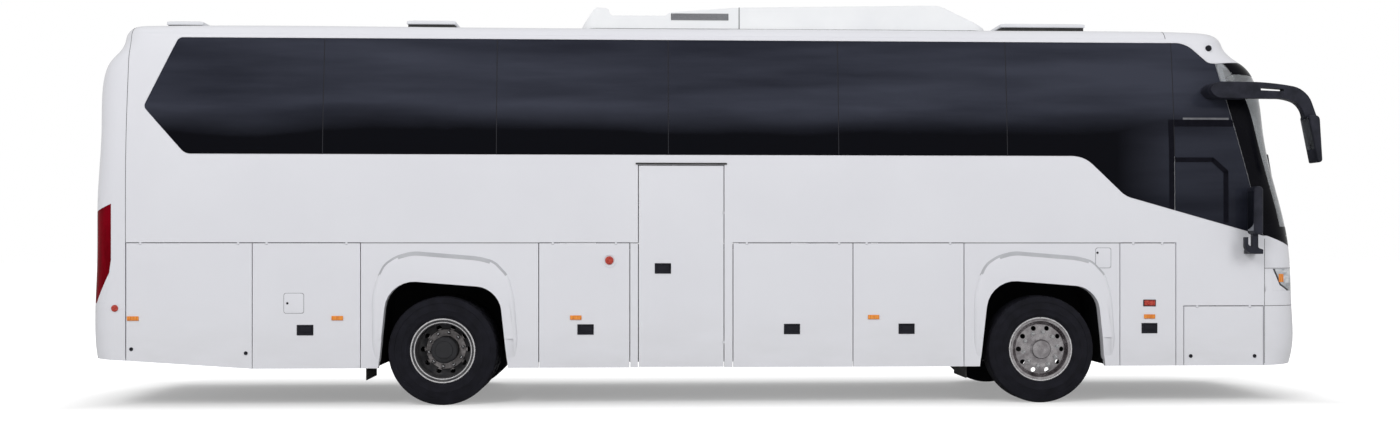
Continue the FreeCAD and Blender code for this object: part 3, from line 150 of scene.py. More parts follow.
paint, tree, shader = new_finish("coach_paint", 0.28, coat=0.5)
tint = spread(tree, noise(tree, 0.9, 4.0), (0.703, 0.706, 0.748), (0.722, 0.726, 0.767))
low_down = spread(tree, coordinates(tree)["Z"], 0.32, 0.0, 0.35, 1.0)
film = worked_out(tree, "MULTIPLY", low_down, spread(tree, noise(tree, 5.0, 6.0, (0.35, 1, 1)), 0.2, 1.0))
tree.links.new(mixed(tree, film, tint, (0.56, 0.56, 0.57, 1)), shader.inputs["Base Color"])
tree.links.new(spread(tree, noise(tree, 0.8, 2.0), 0.27, 0.31, 0.2, 0.8), shader.inputs["Roughness"])
bump(tree, shader, noise(tree, 1.2, 1.0, (1, 1, 1.4)), 0.03, 0.02)
dress(paint, "side_wall_right", "side_wall_left", "roof", "front_dome", "rear_wall", "rear_bumper", "front_cowl",
      "front_panel", "front_bumper", "emergency_door", "engine_door", "entrance_door", "battery_flap_right",
      "corner_flap_right")
for side, side_name in SIDES:
    for flap in ("engine", "locker", "rear_hold", "middle_hold", "front_hold"):
        dress(paint, f"{flap}_flap_{side_name}")


# Panel joints: narrow beads of dark sealant where the welded middle meets the moulded ends and bumpers.
# Each bead is a strip of the panel's own outer skin, cut out between two planes and thickened by a millimetre.
def alone(piece):
    """Selects one piece and nothing else."""
    if bpy.context.mode != "OBJECT":
        bpy.ops.object.mode_set(mode="OBJECT")
    bpy.ops.object.select_all(action="DESELECT")
    piece.select_set(True)
    bpy.context.view_layer.objects.active = piece


def modified(piece, kind, **settings):
    """Adds a modifier with its settings and applies it."""
    alone(piece)
    modifier = piece.modifiers.new(kind, kind)
    for name, value in settings.items():
        setattr(modifier, name, value)
    bpy.ops.object.modifier_apply(modifier=modifier.name)
    return piece


def clear_beyond(piece, point, away, fill=False):
    """Cuts a piece by a plane and clears what lies beyond it."""
    alone(piece)
    bpy.ops.object.mode_set(mode="EDIT")
    bpy.ops.mesh.select_all(action="SELECT")
    bpy.ops.mesh.bisect(plane_co=point, plane_no=away, clear_outer=True, use_fill=fill)
    bpy.ops.object.mode_set(mode="OBJECT")


def keep_between(piece, axis, low, high):
    """Cuts a piece by two planes across an axis and keeps what lies between them."""
    for limit, way in ((low, -1), (high, 1)):
        point, normal = Vector(), Vector()
        point[axis], normal[axis] = limit, way
        clear_beyond(piece, point, normal)


def chosen_faces(piece, test):
    """Goes into edit mode with only the faces that pass a test selected."""
    alone(piece)
    bpy.ops.object.mode_set(mode="EDIT")
    bpy.ops.mesh.select_mode(type="FACE")
    bpy.ops.mesh.select_all(action="DESELECT")
    bpy.ops.object.mode_set(mode="OBJECT")
    for face in piece.data.polygons:
        face.select = test(face.center, face.normal)
    bpy.ops.object.mode_set(mode="EDIT")


def without_faces(piece, test):
    """Deletes the faces of a piece that pass a test."""
    chosen_faces(piece, test)
    bpy.ops.mesh.delete(type="FACE")
    bpy.ops.object.mode_set(mode="OBJECT")


def merged_copy(name, node):
    """A copy of a node with its doubled points merged."""
    piece = bpy.data.objects.new(name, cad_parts[node].data.copy())
    bpy.context.scene.collection.objects.link(piece)
    piece.data.materials.clear()
    alone(piece)
    bpy.ops.object.mode_set(mode="EDIT")
    bpy.ops.mesh.select_all(action="SELECT")
    bpy.ops.mesh.remove_doubles(threshold=0.00005)
    bpy.ops.object.mode_set(mode="OBJECT")
    return piece


def skin_strip(name, node, spans, outward, thickness=0.0012):
    """A strip of a panel's outer skin, thickened outwards. A span along x is measured from the rear axle."""
    piece = merged_copy(name, node)
    for axis, low, high in spans:
        origin = rear_axle_x if axis == 0 else 0
        keep_between(piece, axis, origin + low, origin + high)
    without_faces(piece, lambda centre, normal: not outward(centre, normal))
    return modified(piece, "SOLIDIFY", thickness=thickness, offset=1.0)


def settle(piece, body, finish, smooth=0.6):
    """Finishes a piece: its place in its mesh, its shading, its finish and the body that it rides on."""
    alone(piece)
    bpy.ops.object.transform_apply(location=True, rotation=True, scale=True)
    if smooth:
        bpy.ops.object.shade_smooth_by_angle(angle=smooth)
    piece.data.materials.clear()
    piece.data.materials.append(finish)
    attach(piece, body)
    return piece


def middle_x(node):
    """The middle of a node along the coach."""
    low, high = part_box(node)
    return (low.x + high.x) / 2


rear_axle_x = middle_x("wheel_rear_right")
sealant = mottled("joint_sealant", (0.045, 0.045, 0.05), (0.075, 0.075, 0.08), 60, (0.5, 0.65), 0.2)
upright_joints = [("rear_joint", -2.984, -2.980, 0.47, 3.57), ("front_joint", 8.003, 8.007, 0.38, 1.60)]
for name, start, finish, foot, top in upright_joints:
    for side, side_name in SIDES:
        strip = skin_strip(f"{name}_{side_name}", f"side_wall_{side_name}", [(0, start, finish), (2, foot, top)],
                           lambda c, n: n.y * side > 0.5)
        settle(strip, "root", sealant)
for name, start, finish in (("rear_joint_roof", -2.984, -2.979), ("dome_joint_roof", 7.064, 7.069)):
    settle(skin_strip(name, "roof", [(0, start, finish)], lambda c, n: n.z > 0.1 and c.z > 3.56), "root", sealant)
level_joints = [("bumper_joint_front", "front_bumper", 0.9465), ("panel_joint_front", "front_panel", 1.3135)]
for name, node, level in level_joints:
    strip = skin_strip(name, node, [(2, level - 0.004, level + 0.001)],
                       lambda c, n: n.x > 0.1 or abs(n.y) > 0.8 and n.y * c.y > 0)
    settle(strip, "root", sealant)


# Bonded side glass, rear window and door glass: dark panes, with painted reflection as lighter streaks over their upper
# part and towards the front.
# They are glued over the pillars with dark sealant in their joints, so the band reads as one dark strip.
tinted, tree, shader = new_finish("dark_tinted_glass", 0.03)
parts = coordinates(tree)
# Painted reflection: the panes go from near black low down to lighter streaks higher up, and in part towards the front.
wander = worked_out(tree, "MULTIPLY_ADD", noise(tree, 1.1, 4.0, (0.6, 1, 1.5)), 0.22, parts["Z"])
reflection_rising = spread(tree, wander, 0.0, 1.0, 2.72, 2.98)
ahead = spread(tree, parts["X"], 0.0, 0.62, 3.95, 4.55)
painted_reflection_streaks = spread(tree, noise(tree, 0.8, 5.0, (0.35, 1, 3.0)), (0.019, 0.021, 0.032), (0.044, 0.048, 0.068), 0.38, 0.6)
depth = mixed(tree, worked_out(tree, "MAXIMUM", reflection_rising, ahead), (0.0012, 0.0014, 0.0035, 1), painted_reflection_streaks)
tree.links.new(depth, shader.inputs["Base Color"])
tree.links.new(spread(tree, noise(tree, 2.0, 3.0), 0.02, 0.06), shader.inputs["Roughness"])
shader.inputs["Transmission Weight"].default_value = 0.1
shader.inputs["IOR"].default_value = 1.18
dress(tinted, "side_glass_right", "side_glass_left", "rear_window", "entrance_door_glass")
pane_sealant = mottled("pane_sealant", (0.008, 0.008, 0.012), (0.014, 0.014, 0.02), 60, (0.5, 0.65), 0.2)
first_joint, bay, half_joint = -1.135, 1.65, 0.0038
for number in range(6):
    joint_x = first_joint + bay * number
    for side, side_name in SIDES:
        if side > 0 and number == 5:
            continue
        joint = skin_strip(f"pane_joint_{side_name}_{number}", f"side_wall_{side_name}",
                           [(0, joint_x - half_joint, joint_x + half_joint), (2, 2.405, 3.53)],
                           lambda c, n: n.y * side > 0.5, 0.0068)
        settle(joint, "root", pane_sealant)


# Windscreen: one large curved laminated pane, clear with a slight green tint.
# A black printed border hides its bond line.
clear, tree, shader = new_finish("laminated_glass", 0.02)
tree.links.new(spread(tree, noise(tree, 1.0, 2.0), (0.56, 0.58, 0.60), (0.61, 0.63, 0.65)),
               shader.inputs["Base Color"])
tree.links.new(spread(tree, noise(tree, 6.0, 2.0), 0.015, 0.04), shader.inputs["Roughness"])
shader.inputs["Transmission Weight"].default_value = 0.85
shader.inputs["IOR"].default_value = 1.5
dress(clear, "windscreen")
border_black = mottled("printed_border", (0.0015, 0.0015, 0.003), (0.003, 0.003, 0.005), 3, (0.2, 0.3), 0.03, 200,
                       shine=0.08)
border_inside = 1.19
for side, side_name in SIDES:
    near, far = sorted((side * border_inside, side * 1.30))
    edge = skin_strip(f"screen_border_{side_name}", "windscreen", [(1, near, far)],
                      lambda c, n: n.x > 0.02 or n.y * side > 0.3, 0.0015)
    settle(edge, "root", border_black)
screen_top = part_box("windscreen")[1].z
for name, foot, top in (("foot", 1.50, 1.72), ("head", screen_top - 0.14, screen_top + 0.01)):
    edge = skin_strip(f"screen_border_{name}", "windscreen", [(1, -border_inside, border_inside), (2, foot, top)],
                      lambda c, n: n.x > 0.1, 0.0015)
    settle(edge, "root", border_black)
screen_foot = merged_copy("screen_foot_panel", "front_cowl")
clear_beyond(screen_foot, (rear_axle_x + 8.0086, 0, 1.638), (-0.353, 0, -1))
without_faces(screen_foot, lambda c, n: n.x < 0.05 and abs(n.y) < 0.5)
modified(screen_foot, "SOLIDIFY", thickness=0.0015, offset=1.0)
settle(screen_foot, "root", border_black)


# Tail lamps: tall red lenses on the rear corners, cut to a slope below, where the body's own corner carries on.
# The ribbed finishes of the headlamps and of the amber lamps are made here too.
def duplicate(piece, name, offset=(0, 0, 0)):
    """A copy of a piece with a mesh of its own, moved by an offset."""
    twin = piece.copy()
    twin.data = piece.data.copy()
    twin.name = twin.data.name = name
    bpy.context.scene.collection.objects.link(twin)
    twin.location = Vector(piece.location) + Vector(offset)
    return twin


def lamp_of(side, name, node):
    """The lamp of one side, from a node that holds both."""
    lamp = merged_copy(name, node)
    near, far = sorted((side * 0.3, side * 1.30))
    keep_between(lamp, 1, near, far)
    return lamp


clear_lens, tree, shader = new_finish("headlamp_lens", 0.05, coat=0.6)
tree.links.new(spread(tree, noise(tree, 9.0, 2.0, (1, 1, 3)), (0.35, 0.37, 0.40), (0.72, 0.74, 0.77)),
               shader.inputs["Base Color"])
shader.inputs["Metallic"].default_value = 0.4
bump(tree, shader, noise(tree, 40, 1.0, (0.2, 1, 1)), 0.1, 0.002)
red_lens, tree, shader = new_finish("tail_lamp_lens", 0.15)
shader.inputs["IOR"].default_value = 1.08
tree.links.new(spread(tree, noise(tree, 14.0, 2.0, (1, 1, 0.3)), (0.13, 0.0006, 0.004), (0.19, 0.001, 0.007)),
               shader.inputs["Base Color"])
bump(tree, shader, noise(tree, 90, 1.0, (1, 1, 0.05)), 0.15, 0.002)
amber, tree, shader = new_finish("amber_lens", 0.15, coat=0.5)
tree.links.new(spread(tree, noise(tree, 160.0, 1.0, (1, 1, 0.1)), (0.62, 0.16, 0.01), (0.85, 0.30, 0.03)),
               shader.inputs["Base Color"])
bump(tree, shader, noise(tree, 300, 1.0, (1, 1, 0.05)), 0.3, 0.001)
dress(clear_lens, "headlamps")
tip, beyond = Vector((rear_axle_x - 3.175, 0, 1.200)), Vector((0.220, 0, -0.111)).normalized()
for side, side_name in SIDES:
    lens = lamp_of(side, f"tail_lamp_lens_{side_name}", "tail_lamps")
    corner = duplicate(lens, f"tail_lamp_infill_{side_name}")
    clear_beyond(lens, tip, beyond, True)
    clear_beyond(corner, tip, -beyond, True)
    settle(lens, "root", red_lens)
    settle(corner, "root", paint)
    for piece in (lens, corner):
        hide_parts("tail_lamps")


# Dark mouldings: dashboard and steering wheel in grained black plastic, satin wipers, and dull wheel housings darkened
# past black plastic as painted shade inside the arches.
# Mud flaps and air springs are rubber.
black_plastic = mottled("black_moulding", (0.010, 0.010, 0.012), (0.020, 0.020, 0.023), 12, (0.5, 0.62), 0.25, 500)
satin_black = mottled("satin_black", (0.008, 0.008, 0.012), (0.014, 0.014, 0.020), 8, (0.4, 0.5), 0.08, 300,
                      shine=0.2)
# Painted shade: the wheel housings are nearly black, darker than black plastic, for the shade inside the arches.
arch_black_painted_shade = mottled("arch_liner", (0.002, 0.002, 0.003), (0.005, 0.005, 0.007), 12, (0.75, 0.9), 0.25, 300,
                     shine=0.2)
rubber = mottled("black_rubber", (0.018, 0.018, 0.018), (0.04, 0.039, 0.037), 20, (0.65, 0.85), 0.3, 260)
dress(black_plastic, "dashboard", "steering_wheel")
dress(arch_black_painted_shade, "wheel_housings")
dress(satin_black, "wipers")
dress(rubber, "mud_flaps", "air_springs")


# Running gear: chassis frame, axles, knuckles and door arms in dark underbody paint, engine in cast metal.
# The hold is lined with bare sheet.
chassis_paint = mottled("underbody_paint", (0.03, 0.03, 0.033), (0.065, 0.062, 0.06), 7, (0.5, 0.75), 0.3, 180)
cast_metal = mottled("engine_casting", (0.16, 0.16, 0.165), (0.28, 0.28, 0.285), 15, (0.5, 0.7), 0.5, 220,
                     metallic=0.7)
sheet_lining = mottled("hold_lining", (0.36, 0.37, 0.38), (0.5, 0.51, 0.52), 5, (0.4, 0.6), 0.1, 120,
                       metallic=0.3)
dress(chassis_paint, "chassis_frame", "rear_axle", "front_axle", "knuckle_right", "knuckle_left", "door_arms")
dress(cast_metal, "engine")
dress(sheet_lining, "hold")


# Saloon: speckled vinyl on the floor, and light trim on the parcel racks.
# Everything here is seen only through the glass and the doors.
vinyl = mottled("speckled_vinyl", (0.07, 0.075, 0.09), (0.16, 0.165, 0.18), 240, (0.45, 0.6), 0.1, 300)
trim = mottled("light_trim", (0.36, 0.36, 0.38), (0.44, 0.44, 0.46), 10, (0.5, 0.65), 0.2, 300)
dress(vinyl, "saloon_floor")
dress(trim, "parcel_racks")


# Roof air conditioner: a long moulded white cover with a raised fan box behind and a smooth cowl ahead.
# It is whiter and duller than the coach paint. Its louvres, seam and seal come in a section of their own.
white_cover = mottled("white_cover", (0.80, 0.81, 0.83), (0.86, 0.87, 0.88), 1.5, (0.3, 0.42), 0.05, 200, coat=0.2)
dress(white_cover, "roof_air_conditioner")


# Wheels: polished convex discs with ten hand holes and a domed hub cap in front, darkened as a painted reflection of
# dark surroundings.
# The rear twins are dished and painted silver and dull, their colour darkened far below silver as painted shade in the
# deep dish.
# Painted reflection: the polished discs are much darker than bright polished metal, standing in for the dark
# surroundings they reflect.
polished = mottled("polished_disc_painted_reflection", (0.30, 0.28, 0.29), (0.52, 0.50, 0.51), 14, (0.16, 0.30), 0.05, 200,
                   metallic=1.0)
# Painted shade: the rear rims are near black, far darker than silver paint, standing in for the shade in their deep
# dish.
silver_rim = mottled("silver_rim", (0.045, 0.045, 0.05), (0.10, 0.098, 0.10), 10, (0.4, 0.55), 0.1, 250,
                     metallic=0.4)
dress(polished, "wheel_front_right", "wheel_front_left")
dress(silver_rim, "wheel_rear_right", "wheel_rear_left")


# Tyres: ribbed road tyres, with four grooves round the tread, notched shoulders and two rings on the wall.
# Each is turned up from a drum: its ends are inset to make the walls, and its bore is bridged through.
def drum(name, vertices, radius, depth, place):
    """A cylinder primitive that stands across the coach, with its place in its mesh."""
    bpy.ops.object.select_all(action="DESELECT")
    bpy.ops.mesh.primitive_cylinder_add(vertices=vertices, radius=radius, depth=depth, location=place,
                                        rotation=(math.radians(90), 0, 0))
    piece = bpy.context.object
    piece.name = piece.data.name = name
    bpy.ops.object.transform_apply(location=True, rotation=True, scale=True)
    return piece


def bridge_bore():
    """Deletes the chosen end faces of a drum and bridges the two rims that they leave."""
    bpy.ops.mesh.delete(type="FACE")
    bpy.ops.mesh.select_mode(type="EDGE")
    bpy.ops.mesh.select_all(action="DESELECT")
    bpy.ops.mesh.select_non_manifold()
    bpy.ops.mesh.bridge_edge_loops()


def joined(name, pieces):
    """Joins pieces into the first of them."""
    alone(pieces[0])
    for piece in pieces[1:]:
        piece.select_set(True)
    bpy.ops.object.join()
    pieces[0].name = pieces[0].data.name = name
    return pieces[0]


def road_tyre(name, x, y):
    """One tyre, standing across the coach."""
    z, half_tread = tyre_radius, 0.100
    piece = drum(name, 90, tyre_radius, 2 * half_tread, (x, y, z))
    centre = Vector((x, y, z))
    grooves = [(-0.072, -0.062), (-0.030, -0.020), (0.020, 0.030), (0.062, 0.072)]
    bpy.ops.object.mode_set(mode="EDIT")
    for pair in grooves:
        for offset in pair:
            bpy.ops.mesh.select_all(action="SELECT")
            bpy.ops.mesh.bisect(plane_co=(x, y + offset, z), plane_no=(0, 1, 0))
    chosen_faces(piece, lambda c, n: abs(n.y) < 0.5 and any(a < c.y - y < b for a, b in grooves))
    bpy.ops.mesh.extrude_region()
    bpy.ops.transform.resize(value=(0.975, 1, 0.975), center_override=centre)
    chosen_faces(piece, lambda c, n: abs(n.y) > 0.9 and (c - centre).length < half_tread + 0.01)
    walls = [(0.010, 0.026), (0.040, 0.013), (0.012, 0.0015), (0.003, -0.004), (0.060, 0.011), (0.004, 0.003),
             (0.004, -0.003), (0.045, -0.006), (0.040, -0.036), (0.0166, -0.004)]
    for thickness, depth in walls:
        bpy.ops.mesh.inset(thickness=thickness, depth=depth, use_individual=True)
    bridge_bore()
    chosen_faces(piece, lambda c, n: half_tread - 0.001 < abs(c.y - y) < half_tread + 0.026
                 and math.hypot(c.x - x, c.z - z) > 0.505
                 and round(math.degrees(math.atan2(c.z - z, c.x - x)) / 4) % 2 == 0)  # every other facet of 90
    bpy.ops.mesh.extrude_region()
    bpy.ops.transform.resize(value=(0.985, 1, 0.985), center_override=centre)
    bpy.ops.object.mode_set(mode="OBJECT")
    return piece


tyre_rubber = mottled("tyre_rubber", (0.006, 0.006, 0.009), (0.012, 0.012, 0.017), 9, (0.72, 0.88), 0.25, 300,
                      shine=0.2)
tyre_radius = 0.522
tyre_y = 1.0925  # the middle of the front tyre and of the outer rear one
twin_spacing = 0.33
front_axle_x = middle_x("wheel_front_right")
for side, side_name in SIDES:
    tyre = road_tyre(f"front_tyre_{side_name}", front_axle_x, side * tyre_y)
    settle(tyre, f"wheel_front_{side_name}", tyre_rubber)
    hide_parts(f"tyre_front_{side_name}")
    twins = [road_tyre(f"{place}_tyre_{side_name}", rear_axle_x, side * y)
             for place, y in (("outer", tyre_y), ("inner", tyre_y - twin_spacing))]
    twins = settle(joined(f"rear_tyres_{side_name}", twins), f"wheel_rear_{side_name}", tyre_rubber)
    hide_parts(f"tyres_rear_{side_name}")


# Wheel nuts: ten on each wheel, with a collar below and a domed end, on a 335 mm circle.
# Each is a short drum whose outer end is drawn out, and the ten are joined into a ring.
def nut_ring(name, x, y, outward, height):
    """Ten wheel nuts on a flange, pointing outwards."""
    nuts = []
    for index in range(10):
        angle = math.radians(36 * index + 9)
        place = (x + nut_circle * math.cos(angle), y, tyre_radius + nut_circle * math.sin(angle))
        nut = drum("nut", 12, 0.022, 0.008, place)
        chosen_faces(nut, lambda c, n: n.y * outward > 0.9)
        bpy.ops.mesh.inset(thickness=0.005)
        bpy.ops.mesh.extrude_region_move(TRANSFORM_OT_translate={"value": (0, outward * height, 0)})
        bpy.ops.mesh.inset(thickness=0.004, depth=0.004)
        bpy.ops.mesh.inset(thickness=0.005, depth=0.002)
        bpy.ops.object.mode_set(mode="OBJECT")
        nuts.append(nut)
    return joined(name, nuts)


nut_steel = mottled("nut_steel", (0.42, 0.42, 0.43), (0.62, 0.62, 0.63), 60, (0.2, 0.35), 0.1, 300, metallic=1.0)
nut_circle = 0.1675
twins_y = tyre_y - twin_spacing / 2  # midway between the two tyres
for side, side_name in SIDES:
    nuts = nut_ring(f"front_nuts_{side_name}", front_axle_x, side * (tyre_y + 0.107), side, 0.022)
    settle(nuts, f"wheel_front_{side_name}", nut_steel, 0.5)
    nuts = nut_ring(f"rear_nuts_{side_name}", rear_axle_x, side * (twins_y + 0.016), side, 0.03)
    settle(nuts, f"wheel_rear_{side_name}", nut_steel, 0.5)


# Wheel lips and flanges: bright turned lips on every rim, and the pale clamping flange under the rear nuts.
# Each is turned from a drum whose ends are inset to the bore and bridged through.
def turned_ring(name, x, y, radius, bore, depth, edge):
    """A ring that stands across the coach, centred on an axle."""
    piece = drum(name, 72, radius, depth, (x, y, tyre_radius))
    chosen_faces(piece, lambda c, n: abs(n.y) > 0.9)
    bpy.ops.mesh.inset(thickness=radius - bore, use_individual=True)
    bridge_bore()
    bpy.ops.mesh.select_all(action="SELECT")
    bpy.ops.mesh.normals_make_consistent(inside=False)
    bpy.ops.object.mode_set(mode="OBJECT")
    return modified(piece, "BEVEL", width=edge, segments=3, limit_method="ANGLE")


bright_lip = mottled("bright_lip", (0.62, 0.61, 0.62), (0.78, 0.77, 0.78), 25, (0.22, 0.34), 0.04, 300,
                     metallic=0.6)
pale_flange = mottled("pale_flange", (0.34, 0.31, 0.31), (0.50, 0.47, 0.47), 40, (0.35, 0.5), 0.15, 260)
for side, side_name in SIDES:
    for axle, axle_x in (("rear", rear_axle_x), ("front", front_axle_x)):
        lips = [turned_ring("lip", axle_x, side * 1.203, 0.312, 0.297, 0.022, 0.006)]
        if axle == "rear":
            lips.append(turned_ring("lip", axle_x, side * 1.192, 0.286, 0.268, 0.024, 0.006))
        settle(joined(f"{axle}_wheel_lips_{side_name}", lips), f"wheel_{axle}_{side_name}", bright_lip)
    flange = turned_ring(f"rear_flange_{side_name}", rear_axle_x, side * (twins_y + 0.024), 0.208, 0.130, 0.006,
                         0.0015)
    settle(flange, f"wheel_rear_{side_name}", pale_flange)


# Rear hub covers: black drum-shaped hubs that stand out through the twin wheels.
# Each is a drum with a stepped, rounded end.
hub_length, hub_reach = 0.16, 0.181  # the reach outwards is from midway between the tyres
for side, side_name in SIDES:
    hub = drum(f"rear_hub_cover_{side_name}", 48, 0.128, hub_length,
               (rear_axle_x, side * (twins_y + hub_reach - hub_length / 2), tyre_radius))
    chosen_faces(hub, lambda c, n: n.y * side > 0.9)
    for thickness, depth in ((0.012, 0.008), (0.03, 0.0), (0.004, 0.006), (0.05, 0.003)):
        bpy.ops.mesh.inset(thickness=thickness, depth=depth)
    bpy.ops.object.mode_set(mode="OBJECT")
    settle(hub, f"wheel_rear_{side_name}", black_plastic)


# Flap handles: black recessed paddle handles on the locker, hold and battery flaps and the emergency door,
# and on the left-hand engine flap.
# A frame lies on the panel, with a sunk tray, a paddle across it and a round lock at one end.
def block(name, low, high):
    """A block primitive between two corners, with its place in its mesh."""
    bpy.ops.object.select_all(action="DESELECT")
    bpy.ops.mesh.primitive_cube_add(size=1, location=[(a + b) / 2 for a, b in zip(low, high)],
                                    scale=[abs(b - a) for a, b in zip(low, high)])
    piece = bpy.context.object
    piece.name = piece.data.name = name
    bpy.ops.object.transform_apply(location=True, rotation=True, scale=True)
    return piece


def rounded_block(name, low, high, edge, segments=3):
    """A block with rounded edges."""
    return modified(block(name, low, high), "BEVEL", width=edge, segments=segments)


def paddle_handle(name, x, z, side):
    """A paddle handle on the side of the coach."""
    y = side * half_width
    frame_block = block(f"{name}_frame", (x - 0.078, y - side * 0.002, z - 0.050),
                        (x + 0.078, y + side * 0.005, z + 0.050))
    chosen_faces(frame_block, lambda c, n: n.y * side > 0.9)
    bpy.ops.mesh.inset(thickness=0.008)
    bpy.ops.mesh.extrude_region_move(TRANSFORM_OT_translate={"value": (0, -side * 0.0045, 0)})
    bpy.ops.object.mode_set(mode="OBJECT")
    modified(frame_block, "BEVEL", width=0.0015, segments=2)
    paddle = rounded_block(f"{name}_paddle", (x - 0.048, y, z - 0.022), (x + 0.062, y + side * 0.006, z + 0.030), 0.003)
    lock = drum(f"{name}_lock", 20, 0.011, 0.009, (x - 0.06, y + side * 0.0005, z))
    modified(lock, "BEVEL", width=0.0015, segments=2)
    return joined(name, [frame_block, paddle, lock])


half_width = 1.255
handles = [("locker_flap_right", -1.297), ("rear_hold_flap_right", 1.369), ("middle_hold_flap_right", 3.359),
           ("front_hold_flap_right", 4.474), ("battery_flap_right", 6.8615), ("emergency_door", 2.112),
           ("locker_flap_left", -1.297), ("engine_flap_left", -2.35), ("rear_hold_flap_left", 1.6),
           ("middle_hold_flap_left", 2.98), ("front_hold_flap_left", 4.35)]
for body, distance in handles:
    side = 1 if body.endswith("left") else -1
    height = 1.313 if body == "emergency_door" else 0.727
    handle = paddle_handle(f"{body}_handle", rear_axle_x + distance, height, side)
    settle(handle, body, satin_black)


# Waist line: the dark joint along the tops of the flaps, carried on over both wheel arches and past the doors.
# Each length is a thin bead of sealant that stands a little proud of the side panel.
waist_foot, waist_top = 1.5550, 1.5620
for side, side_name in SIDES:
    for number, (start, finish) in enumerate(((-0.778, 0.925), (1.790, 1.872), (5.032, 6.574))):
        if side > 0 and number == 1:
            continue
        y = sorted((side * (half_width - 0.001), side * (half_width + 0.0008)))
        line = block(f"waist_joint_{side_name}_{number}", (rear_axle_x + start, y[0], waist_foot),
                     (rear_axle_x + finish, y[1], waist_top))
        settle(line, "root", sealant, smooth=0)


# Arch flares: moulded lips that swell out round each wheel arch, with a grey strip of painted shade along their upper
# slope.
# Each outline is drawn point by point, filled, widened and rounded, and the opening is then cut through it.
def plate(name, outline, near, far, edge):
    """A moulding across the coach from an outline of (x, z) or (x, z, corner) points measured from the rear axle."""
    bpy.ops.object.select_all(action="DESELECT")
    bpy.ops.mesh.primitive_plane_add(size=0.02, location=(0, 0, 0))
    piece = bpy.context.object
    piece.name = piece.data.name = name
    bpy.ops.object.mode_set(mode="EDIT")
    bpy.ops.mesh.select_mode(type="VERT")
    bpy.ops.mesh.select_all(action="SELECT")
    bpy.ops.mesh.merge(type="CENTER")
    bpy.ops.transform.translate(value=(rear_axle_x + outline[0][0], near, outline[0][1]))
    for here, there in zip(outline, outline[1:]):
        move = (there[0] - here[0], 0, there[1] - here[1])
        bpy.ops.mesh.extrude_vertices_move(TRANSFORM_OT_translate={"value": move})
    bpy.ops.mesh.select_all(action="SELECT")
    bpy.ops.mesh.edge_face_add()
    for x, z, *corner in outline:
        if corner:
            bpy.ops.mesh.select_all(action="DESELECT")
            bpy.ops.object.mode_set(mode="OBJECT")
            for vertex in piece.data.vertices:
                vertex.select = (vertex.co - Vector((rear_axle_x + x, near, z))).length < 0.001
            bpy.ops.object.mode_set(mode="EDIT")
            bpy.ops.mesh.bevel(offset=corner[0], segments=7, affect="VERTICES")
    bpy.ops.mesh.select_all(action="SELECT")
    bpy.ops.mesh.extrude_region_move(TRANSFORM_OT_translate={"value": (0, far - near, 0)})
    bpy.ops.mesh.select_all(action="SELECT")
    bpy.ops.mesh.normals_make_consistent(inside=False)
    bpy.ops.object.mode_set(mode="OBJECT")
    return modified(piece, "BEVEL", width=edge, segments=4, limit_method="ANGLE", angle_limit=math.radians(40))


FLARE = [(-0.672, 0.42), (-0.672, 0.64), (-0.672, 1.044, 0.05), (-0.629, 1.224, 0.06), (-0.558, 1.364, 0.05),
         (-0.439, 1.443, 0.05), (-0.281, 1.486, 0.06), (0.355, 1.434, 0.06), (0.505, 1.392, 0.05),
         (0.635, 1.253, 0.05), (0.694, 1.043, 0.06), (0.726, 0.64), (0.728, 0.42)]
OPENING = [(-0.631, 0.10), (-0.517, 1.209, 0.273), (0.542, 1.125, 0.2075), (0.652, 0.10)]
lip_grey = mottled("flare_shadow_strip", (0.40, 0.405, 0.43), (0.45, 0.455, 0.48), 6, (0.5, 0.6), 0.05, 200)
for side, side_name in SIDES:
    for axle_x, axle_name in ((rear_axle_x, "rear"), (front_axle_x, "front")):
        shift = axle_x - rear_axle_x
        flare = plate(f"arch_flare_{axle_name}_{side_name}", [(x + shift, *rest) for x, *rest in FLARE],
                      side * 1.180, side * 1.2772, 0.045)
        for vertex in flare.data.vertices:  # the feet of the flare run out into the skirt
            if vertex.co.z < 0.63:
                vertex.co.y -= side * 0.0235 * min(1.0, (0.64 - vertex.co.z) / 0.19)
        gap = plate("gap", [(x + shift, *rest) for x, *rest in OPENING], side * 1.14, side * 1.34, 0.002)
        modified(flare, "BOOLEAN", operation="DIFFERENCE", object=gap, solver="EXACT")
        bpy.data.objects.remove(gap)
        # Painted shade: the upward faces of the flare's upper slope get a thin grey skin, darker than the paint.
        strip = duplicate(flare, f"flare_strip_{axle_name}_{side_name}")
        without_faces(strip, lambda c, n: not (0.08 < n.y * side < 0.985 and n.z > 0.18
                                               and abs(c.y) > half_width - 0.002 and (c.z > 1.25 or n.z > 0.5)))
        modified(strip, "SOLIDIFY", thickness=0.0010, offset=1.0)
        settle(flare, "root", paint)
        settle(strip, "root", lip_grey)


# Marker lamps: small amber lenses with rounded edges, low on the flaps, and on the entrance door at the left.
# Each sits on its own flap or door and swings with it.
markers = [("engine_flap", -2.913), ("locker_flap", -0.992), ("rear_hold_flap", 1.276), ("front_hold_flap", 4.152),
           ("battery_flap", 6.862)]
for side, side_name in SIDES:
    for flap, distance in markers:
        carrier = f"{flap}_{side_name}"
        if carrier == "battery_flap_left":
            carrier = "entrance_door"
        x = rear_axle_x + distance
        y = sorted((side * (half_width - 0.001), side * (half_width + 0.010)))
        lens = rounded_block(f"marker_{carrier}", (x - 0.055, y[0], 0.820), (x + 0.055, y[1], 0.862), 0.004)
        settle(lens, carrier, amber)
        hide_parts("side_lamps")


